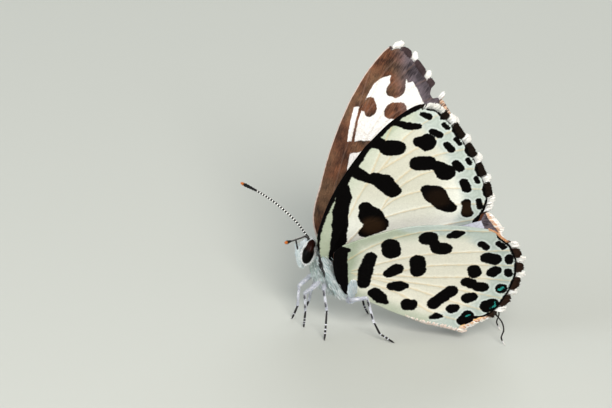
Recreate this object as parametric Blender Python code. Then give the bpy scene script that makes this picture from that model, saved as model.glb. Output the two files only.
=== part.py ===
"""Common pierrot butterfly at rest, life size, its wings closed over its back.

Shapes are worked out in millimetres. X runs back along the body from the
fore wing hinges, Y points to the animal's right and Z up from the ground.
Feet and hind wing tails stand on the ground at Z = 0.
"""

import bpy
import numpy as np

# Whole animal
MM = 0.001
BOX_CENTRE = (4.39, -0.07)
GAP = 0.25
ROOT_CLEAR = 0.30
LEFT, RIGHT = -1, 1

# Wings: a membrane with raised veins, thinner at its free edge
WING_THICKNESS = 0.50
EDGE_THICKNESS = 0.34
VEIN_HEIGHT = 0.09
VEIN_HALF_SHARE = 0.030
VEIN_EDGE_SHARE = 0.009
LINES_PER_VEIN = 4
STATIONS = 11
EDGE_THINS_FROM = 0.8
VEIN_FADE = 0.15
VEIN_TIP_LOSS = 0.6

# Fore wing: leans out from its hinge and curves back in towards the tip
FORE_HINGE_Z = 5.5
FORE_HINGE_Y = 1.2
FORE_LEAN = np.radians(25.0)
FORE_CAMBER = 1.25
FORE_ROOT = ((0.35, -0.25), (1.0, -0.40), (1.7, -0.30))
FORE_FRONT = (
    (0.35, -0.25), (-0.15, 1.2), (-0.12, 3.2), (0.12, 5.0), (0.95, 8.0), (1.75, 10.0),
)
FORE_REAR = ((1.7, -0.30), (4.4, 1.4), (7.8, 3.3), (10.5, 4.65))
FORE_MARGIN = (
    (1.75, 10.0), (3.3, 12.4), (4.9, 13.8), (5.9, 13.95), (6.8, 13.3),
    (8.3, 11.5), (9.75, 9.1), (10.7, 6.6), (10.5, 4.65),
)
FORE_VEINS = (0.10, 0.21, 0.33, 0.42, 0.51, 0.60, 0.70, 0.81, 0.93)
# The right fore wing stands swept forward, less so at its leading edge, like a fan part shut
RIGHT_FORE_SWEEP, LEADING_HOLD = np.radians(13.9), np.radians(17.3)
HOLD_REACH = np.radians(76.0)
SWEEP_RADIUS = 4.0

# Hind wing: hangs beside the body, leans out above it, and ends in a tail
HIND_FOOT_Y = 1.0
HIND_LEAN = 0.25
HIND_BEND = 2.4
HIND_BEND_Z = 3.6
HIND_CAMBER = 0.006
HIND_ROOT = ((1.75, 5.6), (1.72, 4.6), (2.15, 3.7))
HIND_FRONT = ((1.75, 5.6), (1.75, 6.9), (3.7, 8.25), (5.4, 8.98), (7.4, 9.4))
HIND_REAR = (
    (2.15, 3.7), (2.6, 3.0), (4.1, 2.4), (5.7, 1.8), (7.5, 1.32), (9.2, 1.08), (10.6, 0.78),
)
HIND_MARGIN = (
    (7.4, 9.4), (9.6, 9.45), (12.0, 9.0), (13.1, 8.0), (13.75, 6.2), (13.65, 4.4),
    (12.6, 2.15), (11.6, 1.5), (10.6, 0.78),
)
TAIL_KNOT = 6
HIND_VEINS_FRONT = (0.13, 0.25, 0.37, 0.48, 0.60, 0.72)
HIND_VEINS_REAR = (0.92,)
# The right hind wing's upper part hangs lower than the left one's, and is a little narrower
RIGHT_HIND_DROOP, RIGHT_HIND_PULL = np.radians(9.5), 0.04
DROOP_FROM_Z, DROOP_OVER_Z = 3.0, 6.0
DROOP_CENTRE = (2.0, 4.6)
TAIL_PATH = ((12.6, 2.15), (12.98, 1.72), (13.2, 1.15), (13.15, 0.55), (13.4, -0.02))
TAIL_WIDTH = 0.5
TAIL_TIP_SHARE = 0.7
TAIL_RINGS = 7

# Thorax and abdomen: ellipses along a centre line (back, up), as
# (share of length, half height, half width)
THORAX_LINE = ((0.12, 4.60), (1.7, 3.87), (3.35, 3.12))
THORAX_SECTIONS = (
    (0.00, 0.62, 0.45), (0.10, 1.00, 0.70), (0.28, 1.38, 0.92), (0.50, 1.60, 1.02),
    (0.72, 1.52, 0.98), (0.90, 1.18, 0.84), (1.00, 0.85, 0.68),
)
THORAX_RINGS = 14
ABDOMEN_LINE = (
    (3.63, 2.99), (4.3, 2.84), (5.4, 2.80), (6.8, 2.68), (8.4, 2.45), (9.5, 2.30),
)
ABDOMEN_SECTIONS = (
    (0.00, 0.50, 0.50), (0.08, 0.64, 0.62), (0.35, 0.76, 0.74), (0.60, 0.74, 0.72),
    (0.82, 0.56, 0.52), (0.95, 0.34, 0.30), (1.00, 0.16, 0.14),
)
ABDOMEN_SEGMENTS = 7
SEGMENT_CREASE = 0.035
BODY_SIDES = 20
SLOPE_STEP = 0.01

# Head: an egg on its end, leaning back, with a domed eye on each side
HEAD_CENTRE = (-0.45, 5.12)
HEAD_LEAN = np.radians(14.0)
HEAD_HALF_HEIGHT, HEAD_HALF_DEPTH, HEAD_HALF_WIDTH = 0.93, 0.38, 0.48
HEAD_RINGS = 11
LAST_RING = 80
EYE_CENTRE = (-0.48, 5.43)
EYE_HALF_HEIGHT, EYE_HALF_DEPTH, EYE_DOME = 0.80, 0.39, 0.38
EYE_RINGS = 7
PALP_PATH = (
    (-0.92, 0.42, 4.02), (-1.14, 0.46, 4.45), (-1.24, 0.46, 5.0), (-1.26, 0.44, 5.5),
    (-1.36, 0.38, 5.98),
)
PALP_STATIONS = 9
PALP_RADII = ((0.0, 0.20), (0.4, 0.22), (0.8, 0.16), (1.0, 0.08))

# Antennae: (up, forward, side) on the head gives the root, then points out to the club
ANTENNA_ROOT = (0.86, 0.36, 0.31)
ANTENNA_RADII = ((0.0, 0.25), (0.80, 0.25), (0.90, 0.30), (0.97, 0.27), (1.0, 0.12))
RIGHT_ANTENNA = (
    (-0.81, 0.65, 6.30), (-1.31, 1.05, 6.70), (-2.06, 1.65, 7.14), (-3.07, 2.4, 7.59),
    (-4.04, 3.2, 7.81), (-4.97, 4.0, 7.91),
)
LEFT_ANTENNA = ((-0.83, -1.0, 6.62), (-1.31, -2.1, 7.0), (-1.78, -3.2, 7.29), (-2.63, -5.0, 7.74))

# Legs: (side, share of thorax length, degrees below level) gives the root, then points
# run to the foot, which ends just under the ground and is cut flat by it
LEG_RADII = ((0.0, 0.25), (0.3, 0.25), (0.8, 0.25), (1.0, 0.20))
FOOT_Z = -0.05
LEGS = {
    "leg_fore_left": (LEFT, 0.22, 50, (
        (-0.05, -1.0, 2.95), (-0.34, -1.02, 2.5), (-0.15, -1.0, 1.25), (-0.11, -0.95, FOOT_Z),
    )),
    "leg_fore_right": (RIGHT, 0.22, 50, (
        (-0.15, 0.95, 2.75), (-0.52, 0.85, 2.15), (-0.51, 0.5, 0.86), (-0.78, 0.3, FOOT_Z),
    )),
    "leg_mid_left": (LEFT, 0.42, 50, (
        (0.78, -1.35, 2.7), (1.11, -2.0, 1.84), (1.13, -2.4, 0.97), (1.13, -2.7, FOOT_Z),
    )),
    "leg_mid_right": (RIGHT, 0.42, 50, (
        (0.55, 1.3, 2.5), (0.40, 1.65, 1.5), (0.40, 1.95, 0.7), (0.3, 2.2, FOOT_Z),
    )),
    "leg_hind_left": (LEFT, 0.75, 62, (
        (2.6, -1.6, 2.1), (3.15, -2.15, 2.65), (3.62, -2.25, 2.98), (3.98, -2.25, 2.6),
        (4.31, -2.2, 1.35), (4.81, -2.2, 0.56), (5.79, -2.25, FOOT_Z),
    )),
    "leg_hind_right": (RIGHT, 0.75, 62, (
        (2.6, 1.6, 2.1), (3.05, 2.05, 2.42), (3.42, 2.1, 2.58), (3.72, 2.05, 2.3),
        (3.95, 1.95, 1.2), (4.15, 1.95, 0.6), (4.5, 2.0, FOOT_Z),
    )),
}

# Tubes: legs, antennae and palps
TUBE_SIDES = 8
TUBE_STATIONS = 18
ROOT_LEAD = 0.22
FIRST_SIDE = (0.3, 0.2, 0.9)

# Colours of the finished parts, linear RGB, with roughness
FINISHES = {
    "hair": ((0.62, 0.68, 0.68), 0.85),
    "eye": ((0.006, 0.004, 0.004), 0.20),
    "feeler": ((0.02, 0.016, 0.014), 0.65),
    "wing": ((0.70, 0.69, 0.58), 0.70),
    "leg": ((0.66, 0.68, 0.72), 0.75),
}
SHARP_ANGLE = np.radians(50)


def clear_scene():
    for obj in list(bpy.data.objects):
        bpy.data.objects.remove(obj, do_unlink=True)


def smooth_step(value):
    """0 below 0, 1 above 1, and an S-curve between."""
    value = np.clip(value, 0.0, 1.0)
    return value * value * (3.0 - 2.0 * value)


def curve_through(points, shares):
    """Points of a smooth curve through the given ones, at shares 0 to 1 of its length."""
    points = np.asarray(points, float)
    steps = np.linalg.norm(np.diff(points, axis=0), axis=1)
    knots = np.concatenate([[0.0], np.cumsum(steps)])
    slopes = np.gradient(points, knots, axis=0)
    at = np.clip(np.asarray(shares, float), 0.0, 1.0) * knots[-1]
    span = np.clip(np.searchsorted(knots, at, side="right") - 1, 0, len(steps) - 1)
    width = steps[span][:, None]
    u = (at - knots[span])[:, None] / width
    start, end = points[span], points[span + 1]
    leave, arrive = slopes[span] * width, slopes[span + 1] * width
    bend = 2 * (start - end) + leave + arrive
    return start + u * (leave + u * (3 * (end - start) - 2 * leave - arrive + u * bend))


def share_of_knot(points, knot):
    """How far along a curve one of its own points lies, as a share of its length."""
    steps = np.linalg.norm(np.diff(np.asarray(points, float), axis=0), axis=1)
    return steps[:knot].sum() / steps.sum()


def table_at(table, shares):
    """Rows of (share, value...) read at the given shares."""
    table = np.asarray(table, float)
    return [np.interp(shares, table[:, 0], column) for column in table[:, 1:].T]


def stretched_sheet(root, front, rear, margin, across, along):
    """A sheet between four edge curves: the sum of two rulings less their shared corners."""
    s, t = across[:, :, None], along[:, :, None]
    shape = across.shape
    at_front = curve_through(front, along.ravel()).reshape(*shape, 2)
    at_rear = curve_through(rear, along.ravel()).reshape(*shape, 2)
    at_root = curve_through(root, across.ravel()).reshape(*shape, 2)
    at_margin = curve_through(margin, across.ravel()).reshape(*shape, 2)
    corners = (1 - t) * ((1 - s) * at_root[0, 0] + s * at_root[-1, 0])
    corners = corners + t * ((1 - s) * at_margin[0, -1] + s * at_margin[-1, -1])
    return (1 - s) * at_front + s * at_rear + (1 - t) * at_root + t * at_margin - corners


def wing_grid(veins):
    """Shares across and along the wing: a line between veins, then foot, crest and foot of each."""
    along = np.linspace(0.0, 1.0, STATIONS)
    half = VEIN_HALF_SHARE + (VEIN_EDGE_SHARE - VEIN_HALF_SHARE) * along
    lines, crests = [0 * along], [0.0]
    for before, vein in zip((0.0, *veins), veins):
        lines += [0 * along + (before + vein) / 2, vein - half, vein + 0 * half, vein + half]
        crests += [0.0, 0.0, 1.0, 0.0]
    lines += [0 * along + (veins[-1] + 1.0) / 2, 0 * along + 1.0]
    crests += [0.0, 0.0]
    across = np.array(lines)
    return across, np.broadcast_to(along, across.shape), np.array(crests)


def fore_surface(plan, side):
    """Fore wing plan (back, up) laid on its leaning, cambered surface, with outward normals."""
    back, up = plan[..., 0], plan[..., 1]
    if side == RIGHT:
        from_upright = np.arctan2(back, np.maximum(up, 0.01))
        hold = LEADING_HOLD * np.clip(1.0 - from_upright / HOLD_REACH, 0.0, 1.0) ** 2
        turn = (RIGHT_FORE_SWEEP - hold) * smooth_step(np.hypot(back, up) / SWEEP_RADIUS)
        back, up = back * np.cos(turn) - up * np.sin(turn), up * np.cos(turn) + back * np.sin(turn)
    out = FORE_HINGE_Y + up * np.sin(FORE_LEAN) - FORE_CAMBER * (up / 10.0) ** 2
    rise = FORE_HINGE_Z + up * np.cos(FORE_LEAN)
    slope = np.sin(FORE_LEAN) - 0.02 * FORE_CAMBER * up
    normal = np.stack([0 * up, side * np.cos(FORE_LEAN) + 0 * up, -slope], -1)
    normal /= np.linalg.norm(normal, axis=-1, keepdims=True)
    return np.stack([back, side * out, rise], -1), normal


def hind_surface(plan, side):
    """Hind wing plan (back, height) laid on its hanging, out-leaning surface, with outward normals."""
    back, height = plan[..., 0], plan[..., 1]
    if side == RIGHT:
        fade = smooth_step((height - DROOP_FROM_Z) / DROOP_OVER_Z)
        turn = -RIGHT_HIND_DROOP * fade
        x = (back - DROOP_CENTRE[0]) * (1.0 - RIGHT_HIND_PULL * fade)
        z = height - DROOP_CENTRE[1]
        back = DROOP_CENTRE[0] + x * np.cos(turn) - z * np.sin(turn)
        height = DROOP_CENTRE[1] + z * np.cos(turn) + x * np.sin(turn)
    rise = height - HIND_BEND_Z
    reach = np.sqrt(rise ** 2 + HIND_BEND ** 2)
    above = np.maximum(rise, 0.0)
    out = HIND_FOOT_Y + HIND_LEAN * (reach + rise) - HIND_CAMBER * above ** 2
    slope = HIND_LEAN * (rise / reach + 1.0) - 2 * HIND_CAMBER * above
    normal = np.stack([0 * rise, side + 0 * rise, -slope], -1)
    normal /= np.linalg.norm(normal, axis=-1, keepdims=True)
    return np.stack([back, side * out, height], -1), normal


def half_thickness(crests, along):
    """Half the membrane, plus the veins, which fade at the root and the margin."""
    thinning = smooth_step((along - EDGE_THINS_FROM) / (1.0 - EDGE_THINS_FROM))
    plain = WING_THICKNESS + (EDGE_THICKNESS - WING_THICKNESS) * thinning
    sinking = VEIN_TIP_LOSS * smooth_step((along - 1.0 + VEIN_FADE) / VEIN_FADE)
    fade = smooth_step(along / VEIN_FADE) * (1.0 - sinking)
    return plain / 2 + VEIN_HEIGHT * crests[:, None] * fade


def wing_mesh(points, normals, half):
    """Both faces of a wing split into triangles alike, joined round the rim."""
    rows, columns = half.shape
    outer = points + normals * half[..., None]
    inner = points - normals * half[..., None]
    verts = np.concatenate([outer.reshape(-1, 3), inner.reshape(-1, 3)])
    count = rows * columns
    index = np.arange(count).reshape(rows, columns)
    a, b = index[:-1, :-1].ravel(), index[1:, :-1].ravel()
    c, d = index[1:, 1:].ravel(), index[:-1, 1:].ravel()
    top = np.concatenate([np.stack([a, b, c], 1), np.stack([a, c, d], 1)])
    faces = np.concatenate([top, top[:, ::-1] + count])
    ring = np.concatenate([index[:, 0], index[-1, 1:], index[-2::-1, -1], index[0, -2:0:-1]])
    after = np.roll(ring, -1)
    rim = np.concatenate([
        np.stack([ring, ring + count, after + count], 1),
        np.stack([ring, after + count, after], 1),
    ])
    return verts, faces, rim, index


def facing_out(verts, faces):
    """The faces, turned over if the closed mesh they make has a negative volume."""
    a, b, c = verts[faces[:, 0]], verts[faces[:, 1]], verts[faces[:, 2]]
    volume = np.einsum("ij,ij->i", a, np.cross(b, c)).sum()
    return faces if volume > 0 else faces[:, ::-1]


def tail_rings(side, half_edge):
    """Six-sided rings along the tail, in the order of the vein's own edge on the wing's rim."""
    shares = np.linspace(0.0, 1.0, TAIL_RINGS)[1:]
    path = curve_through(TAIL_PATH, shares)
    ahead = np.gradient(path, axis=0)
    ahead /= np.linalg.norm(ahead, axis=1, keepdims=True)
    sideways = np.stack([ahead[:, 1], -ahead[:, 0]], 1)
    size = 1.0 + (TAIL_TIP_SHARE - 1.0) * shares
    rings = []
    for place, sway, scale in zip(path, sideways, size):
        half = TAIL_WIDTH / 2 * scale
        plan = np.array([place - sway * half, place, place + sway * half])
        points, normals = hind_surface(plan, side)
        depth = np.array([half_edge, half_edge + VEIN_HEIGHT / 2, half_edge])[:, None] * scale
        rings.append(np.concatenate([points + normals * depth, (points - normals * depth)[::-1]]))
    return np.array(rings)


def with_tail(verts, faces, rim, index, tail_line, side):
    """Carries the rim between a vein's feet on along the tail, and closes its tip."""
    count = index.size
    edge = index[tail_line - 1:tail_line + 2, -1]
    cut = np.isin(rim % count, edge).all(axis=1)
    base = np.concatenate([edge, edge[::-1] + count])
    rings = tail_rings(side, EDGE_THICKNESS / 2)
    rings[..., 2] = np.maximum(rings[..., 2], 0.0)
    new = len(verts) + np.arange(rings.shape[0] * 6).reshape(-1, 6)
    loops = np.concatenate([base[None], new])
    here, there = loops[:-1], loops[1:]
    here_next, there_next = np.roll(here, -1, 1), np.roll(there, -1, 1)
    wall = np.concatenate([
        np.stack([here, there, there_next], -1).reshape(-1, 3),
        np.stack([here, there_next, here_next], -1).reshape(-1, 3),
    ])
    tip = new[-1]
    cap = np.array([[tip[0], tip[k + 1], tip[k]] for k in range(1, 5)])
    if directed_match(rim[cut], wall):
        wall = wall[:, ::-1]
        cap = cap[:, ::-1]
    verts = np.concatenate([verts, rings.reshape(-1, 3)])
    return verts, np.concatenate([faces, rim[~cut], wall, cap])


def directed_match(old, new):
    """True where the new faces run the old ones' shared outer edges the opposite way."""
    def edges(tris):
        return {(int(t[k]), int(t[(k + 1) % 3])) for t in tris for k in range(3)}
    had, has = edges(old), edges(new)
    outer = {(a, b) for a, b in had if (b, a) not in had}
    return len({(b, a) for a, b in outer} & has) > len(outer & has)


def tube_rings(path, radii, sides, flatten=1.0):
    """Circles carried along a path without twisting, each square to it."""
    ahead = np.gradient(path, axis=0)
    ahead /= np.linalg.norm(ahead, axis=1, keepdims=True)
    across = np.cross(ahead[0], FIRST_SIDE)
    rings = []
    angles = np.arange(sides) * 2 * np.pi / sides
    for place, forward, radius in zip(path, ahead, radii):
        across = across - forward * across.dot(forward)
        across /= np.linalg.norm(across)
        upward = np.cross(forward, across)
        circle = np.outer(np.cos(angles), across) + flatten * np.outer(np.sin(angles), upward)
        rings.append(place + radius * circle)
    return np.array(rings)


def skin(rings):
    """Triangles over a stack of rings, closed at both ends on their centres."""
    count, sides = rings.shape[:2]
    index = np.arange(count * sides).reshape(count, sides)
    here, there = index[:-1], index[1:]
    here_next, there_next = np.roll(here, -1, 1), np.roll(there, -1, 1)
    wall = np.concatenate([
        np.stack([here, there_next, there], -1).reshape(-1, 3),
        np.stack([here, here_next, there_next], -1).reshape(-1, 3),
    ])
    first, last = count * sides, count * sides + 1
    start = np.stack([np.full(sides, first), np.roll(index[0], -1), index[0]], 1)
    end = np.stack([np.full(sides, last), index[-1], np.roll(index[-1], -1)], 1)
    verts = np.concatenate([rings.reshape(-1, 3), [rings[0].mean(0)], [rings[-1].mean(0)]])
    return verts, np.concatenate([wall, start, end])


def body_section(line, sections, share):
    """Centre, direction ahead, half height and half width of the body at a share of its line."""
    share = np.atleast_1d(share)
    centre = curve_through(line, share)
    after = curve_through(line, np.minimum(share + SLOPE_STEP, 1.0))
    ahead = after - curve_through(line, np.maximum(share - SLOPE_STEP, 0.0))
    ahead /= np.linalg.norm(ahead, axis=1, keepdims=True)
    height, width = table_at(sections, share)
    return centre, ahead, height, width


def body_rings(line, sections, shares, shrink=None):
    """Upright ellipses square to a centre line in the animal's middle plane."""
    centre, ahead, height, width = body_section(line, sections, shares)
    if shrink is not None:
        height, width = height - shrink, width - shrink
    angles = np.arange(BODY_SIDES) * 2 * np.pi / BODY_SIDES
    rise = height[:, None] * np.sin(angles)
    return np.stack([
        centre[:, :1] - ahead[:, 1:] * rise,
        width[:, None] * np.cos(angles),
        centre[:, 1:] + ahead[:, :1] * rise,
    ], -1)


def thorax_root(side, share, below):
    """A leg's root: a point clear of the thorax by the gap, and the way out of the body there."""
    centre, ahead, height, width = body_section(THORAX_LINE, THORAX_SECTIONS, share)
    angle = np.radians(below)
    up = np.array([-ahead[0, 1], 0.0, ahead[0, 0]])
    outward = np.array([0.0, side * np.cos(angle) / width[0], 0.0]) - up * np.sin(angle) / height[0]
    outward /= np.linalg.norm(outward)
    place = np.array([centre[0, 0], side * width[0] * np.cos(angle), centre[0, 1]])
    place = place - up * height[0] * np.sin(angle)
    return place + outward * ROOT_CLEAR, outward


def head_axes():
    up = np.array([np.sin(HEAD_LEAN), 0.0, np.cos(HEAD_LEAN)])
    forward = np.array([-np.cos(HEAD_LEAN), 0.0, np.sin(HEAD_LEAN)])
    return up, forward


def head_root(side):
    """An antenna's root on the head: clear of it by the gap, and the way out there."""
    up, forward = head_axes()
    share = np.array(ANTENNA_ROOT)
    share /= np.linalg.norm(share)
    sizes = np.array([HEAD_HALF_HEIGHT, HEAD_HALF_DEPTH, HEAD_HALF_WIDTH])
    frame = np.array([up, forward, (0.0, side, 0.0)])
    centre = np.array([HEAD_CENTRE[0], 0.0, HEAD_CENTRE[1]])
    outward = (share / sizes) @ frame
    outward /= np.linalg.norm(outward)
    return centre + (share * sizes) @ frame + outward * ROOT_CLEAR, outward


def rooted_path(root, outward, points):
    """A smooth path that leaves its root square to the body and runs through the given points."""
    first = root + outward * ROOT_LEAD
    return curve_through([root, first, *points], np.linspace(0.0, 1.0, TUBE_STATIONS))


def material(name):
    colour, roughness = FINISHES[name]
    made = bpy.data.materials.get(name) or bpy.data.materials.new(name)
    made.use_nodes = True
    shader = made.node_tree.nodes["Principled BSDF"]
    shader.inputs["Base Color"].default_value = (*colour, 1.0)
    shader.inputs["Roughness"].default_value = roughness
    shader.inputs["Metallic"].default_value = 0.0
    return made


def add_part(name, verts, faces, finish, root, parent):
    """Makes a named object whose own origin is its root, in metres."""
    root = np.asarray(root, float)
    faces = facing_out(verts - root, faces)
    mesh = bpy.data.meshes.new(name)
    mesh.from_pydata(((verts - root) * MM).tolist(), [], faces.tolist())
    mesh.materials.append(material(finish))
    mesh.shade_smooth()
    mesh.set_sharp_from_angle(angle=SHARP_ANGLE)
    obj = bpy.data.objects.new(name, mesh)
    bpy.context.scene.collection.objects.link(obj)
    obj.location = root * MM
    obj.parent = parent
    return obj


def add_fore_wing(side, parent):
    across, along, crests = wing_grid(FORE_VEINS)
    plan = stretched_sheet(FORE_ROOT, FORE_FRONT, FORE_REAR, FORE_MARGIN, across, along)
    points, normals = fore_surface(plan, side)
    verts, faces, rim, _ = wing_mesh(points, normals, half_thickness(crests, along))
    root = (FORE_ROOT[1][0], side * FORE_HINGE_Y, FORE_HINGE_Z)
    name = "forewing_left" if side == LEFT else "forewing_right"
    add_part(name, verts, np.concatenate([faces, rim]), "wing", root, parent)


def add_hind_wing(side, parent):
    veins = (*HIND_VEINS_FRONT, share_of_knot(HIND_MARGIN, TAIL_KNOT), *HIND_VEINS_REAR)
    across, along, crests = wing_grid(veins)
    plan = stretched_sheet(HIND_ROOT, HIND_FRONT, HIND_REAR, HIND_MARGIN, across, along)
    points, normals = hind_surface(plan, side)
    verts, faces, rim, index = wing_mesh(points, normals, half_thickness(crests, along))
    tail_line = 3 + LINES_PER_VEIN * len(HIND_VEINS_FRONT)
    verts, faces = with_tail(verts, faces, rim, index, tail_line, side)
    root = (HIND_ROOT[1][0], side * (HIND_FOOT_Y + HIND_LEAN * HIND_BEND), HIND_ROOT[1][1])
    name = "hindwing_left" if side == LEFT else "hindwing_right"
    add_part(name, verts, faces, "wing", root, parent)


def add_thorax(parent):
    rings = body_rings(THORAX_LINE, THORAX_SECTIONS, np.linspace(0.0, 1.0, THORAX_RINGS))
    verts, faces = skin(rings)
    add_part("thorax", verts, faces, "hair", (THORAX_LINE[1][0], 0.0, THORAX_LINE[1][1]), parent)


def add_abdomen(parent):
    """Seven segments, each swelling a little between creases."""
    shares = np.linspace(0.0, 1.0, 3 * ABDOMEN_SEGMENTS + 1)
    crease = np.zeros(len(shares))
    crease[3:-1:3] = SEGMENT_CREASE
    verts, faces = skin(body_rings(ABDOMEN_LINE, ABDOMEN_SECTIONS, shares, crease))
    add_part("abdomen", verts, faces, "hair", (ABDOMEN_LINE[0][0], 0.0, ABDOMEN_LINE[0][1]), parent)


def add_head(parent):
    up, forward = head_axes()
    centre = np.array([HEAD_CENTRE[0], 0.0, HEAD_CENTRE[1]])
    angles = np.arange(BODY_SIDES) * 2 * np.pi / BODY_SIDES
    rings = []
    for latitude in np.radians(np.linspace(-LAST_RING, LAST_RING, HEAD_RINGS)):
        depth = HEAD_HALF_DEPTH * np.cos(latitude) * np.cos(angles)
        width = HEAD_HALF_WIDTH * np.cos(latitude) * np.sin(angles)
        ring = centre + up * HEAD_HALF_HEIGHT * np.sin(latitude) + np.outer(depth, forward)
        rings.append(ring + np.outer(width, (0.0, 1.0, 0.0)))
    verts, faces = skin(np.array(rings))
    add_part("head", verts, faces, "hair", centre, parent)


def add_eye(side, parent):
    """A dome on a flat base that faces the side of the head."""
    up, forward = head_axes()
    base = np.array([EYE_CENTRE[0], side * (HEAD_HALF_WIDTH + GAP), EYE_CENTRE[1]])
    angles = np.arange(BODY_SIDES) * 2 * np.pi / BODY_SIDES
    rings = []
    for rise in np.radians(np.linspace(0, LAST_RING, EYE_RINGS)):
        tall = EYE_HALF_HEIGHT * np.cos(rise) * np.cos(angles)
        deep = EYE_HALF_DEPTH * np.cos(rise) * np.sin(angles)
        out = np.array([0.0, side * EYE_DOME * np.sin(rise), 0.0])
        rings.append(base + out + np.outer(tall, up) + np.outer(deep, forward))
    verts, faces = skin(np.array(rings))
    name = "eye_left" if side == LEFT else "eye_right"
    add_part(name, verts, faces, "eye", base, parent)


def add_palp(side, parent):
    shares = np.linspace(0.0, 1.0, PALP_STATIONS)
    path = curve_through(PALP_PATH, shares) * (1.0, side, 1.0)
    radii, = table_at(PALP_RADII, shares)
    verts, faces = skin(tube_rings(path, radii, TUBE_SIDES))
    name = "palp_left" if side == LEFT else "palp_right"
    add_part(name, verts, faces, "hair", path[0], parent)


def add_antenna(side, points, parent):
    root, outward = head_root(side)
    path = rooted_path(root, outward, points)
    radii, = table_at(ANTENNA_RADII, np.linspace(0.0, 1.0, len(path)))
    verts, faces = skin(tube_rings(path, radii, TUBE_SIDES))
    name = "antenna_left" if side == LEFT else "antenna_right"
    add_part(name, verts, faces, "feeler", root, parent)


def add_leg(name, parent):
    """A leg from the thorax to a foot that is flat where it meets the ground."""
    side, share, below, points = LEGS[name]
    root, outward = thorax_root(side, share, below)
    path = rooted_path(root, outward, points)
    radii, = table_at(LEG_RADII, np.linspace(0.0, 1.0, len(path)))
    rings = tube_rings(path, radii, TUBE_SIDES)
    rings[..., 2] = np.maximum(rings[..., 2], 0.0)
    verts, faces = skin(rings)
    add_part(name, verts, faces, "leg", root, parent)


def main():
    clear_scene()
    butterfly = bpy.data.objects.new("butterfly", None)
    bpy.context.scene.collection.objects.link(butterfly)
    butterfly.location = (-BOX_CENTRE[0] * MM, -BOX_CENTRE[1] * MM, 0.0)
    add_thorax(butterfly)
    add_abdomen(butterfly)
    add_head(butterfly)
    for side in (LEFT, RIGHT):
        add_eye(side, butterfly)
        add_palp(side, butterfly)
        add_fore_wing(side, butterfly)
        add_hind_wing(side, butterfly)
    add_antenna(LEFT, LEFT_ANTENNA, butterfly)
    add_antenna(RIGHT, RIGHT_ANTENNA, butterfly)
    for name in LEGS:
        add_leg(name, butterfly)


main()
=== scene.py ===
"""Common pierrot butterfly at rest, wings closed: its looks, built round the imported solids.

Shapes are worked out in millimetres. X runs back along the body from the fore wing
hinges, Y points to the animal's right and Z up from the ground. place() turns them
into the frame's metres. A wing's plan is flat: its places are (back, up), for the hind
wing with up measured from the ground. "Far" is the right side, away from the camera.
"""

import bpy
import numpy as np
from mathutils import Matrix


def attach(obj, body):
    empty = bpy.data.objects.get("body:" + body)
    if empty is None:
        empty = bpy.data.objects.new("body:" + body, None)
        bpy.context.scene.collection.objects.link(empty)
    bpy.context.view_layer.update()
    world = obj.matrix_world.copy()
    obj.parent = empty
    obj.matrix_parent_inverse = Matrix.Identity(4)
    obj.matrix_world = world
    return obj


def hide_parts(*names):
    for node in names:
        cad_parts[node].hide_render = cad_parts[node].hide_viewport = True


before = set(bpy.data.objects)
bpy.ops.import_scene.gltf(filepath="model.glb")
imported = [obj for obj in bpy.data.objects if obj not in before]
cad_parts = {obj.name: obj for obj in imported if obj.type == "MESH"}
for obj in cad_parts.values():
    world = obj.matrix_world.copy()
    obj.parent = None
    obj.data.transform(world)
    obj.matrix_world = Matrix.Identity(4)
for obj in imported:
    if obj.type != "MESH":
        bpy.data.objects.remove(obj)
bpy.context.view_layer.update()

# Whole animal, as in the solids
MM = 0.001
BOX_CENTRE = (4.39, -0.07, 0.0)
LEFT, RIGHT = -1, 1
SIDE_NAMES = {LEFT: "left", RIGHT: "right"}
NEAR_FORE, FAR_FORE = ("fore", LEFT), ("fore", RIGHT)

# The photo's camera: its pixels are those of the 612 x 408 image
IMAGE_WIDTH, IMAGE_HEIGHT = 612, 408
PIXELS_PER_MM = 15.0
ORIGIN_PIXEL = (304.15, 321.31)
VIEW_DISTANCE = 250.0
VIEW_TURN, VIEW_TILT, VIEW_ROLL = np.radians((8.0, 24.5, -8.0))
SENSOR = 36.0

# Wings: a scaled membrane, finer than the solid one but on the same curved surface
MEMBRANE = 0.10
ACROSS, ALONG, WEB_ROWS = 228, 196, 8
VEIN_RELIEF, VEIN_RADIUS, VEIN_STATIONS = 0.03, 0.09, 14
EDGE_THINNING = 0.15
FORE_HINGE_Z, FORE_HINGE_Y = 5.5, 1.2
FORE_LEAN, FORE_CAMBER = np.radians(25.0), 1.25
FORE_ROOT = ((0.35, -0.25), (1.0, -0.40), (1.7, -0.30))
FORE_FRONT = (
    (0.35, -0.25), (-0.15, 1.2), (-0.12, 3.2), (0.12, 5.0), (0.95, 8.0), (1.75, 10.0),
)
FORE_REAR = ((1.7, -0.30), (4.4, 1.4), (7.8, 3.3), (10.5, 4.65))
FORE_MARGIN = (
    (1.75, 10.0), (3.3, 12.4), (4.9, 13.8), (5.9, 13.95), (6.8, 13.3),
    (8.3, 11.5), (9.75, 9.1), (10.7, 6.6), (10.5, 4.65),
)
RIGHT_FORE_SWEEP, LEADING_HOLD, HOLD_REACH = np.radians((13.9, 17.3, 76.0))
SWEEP_RADIUS = 4.0
HIND_FOOT_Y, HIND_LEAN, HIND_BEND, HIND_BEND_Z, HIND_CAMBER = 1.0, 0.25, 2.4, 3.6, 0.006
HIND_ROOT = ((0.95, 6.25), (1.12, 5.0), (1.55, 3.85), (2.2, 2.95))
HIND_FRONT = ((0.95, 6.25), (1.35, 6.8), (2.2, 7.4), (3.7, 8.25), (5.4, 8.98), (7.4, 9.4))
HIND_REAR = (
    (2.2, 2.95), (3.0, 2.72), (4.1, 2.4), (5.7, 1.8), (7.5, 1.32), (9.2, 1.08), (10.6, 0.78),
)
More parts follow.
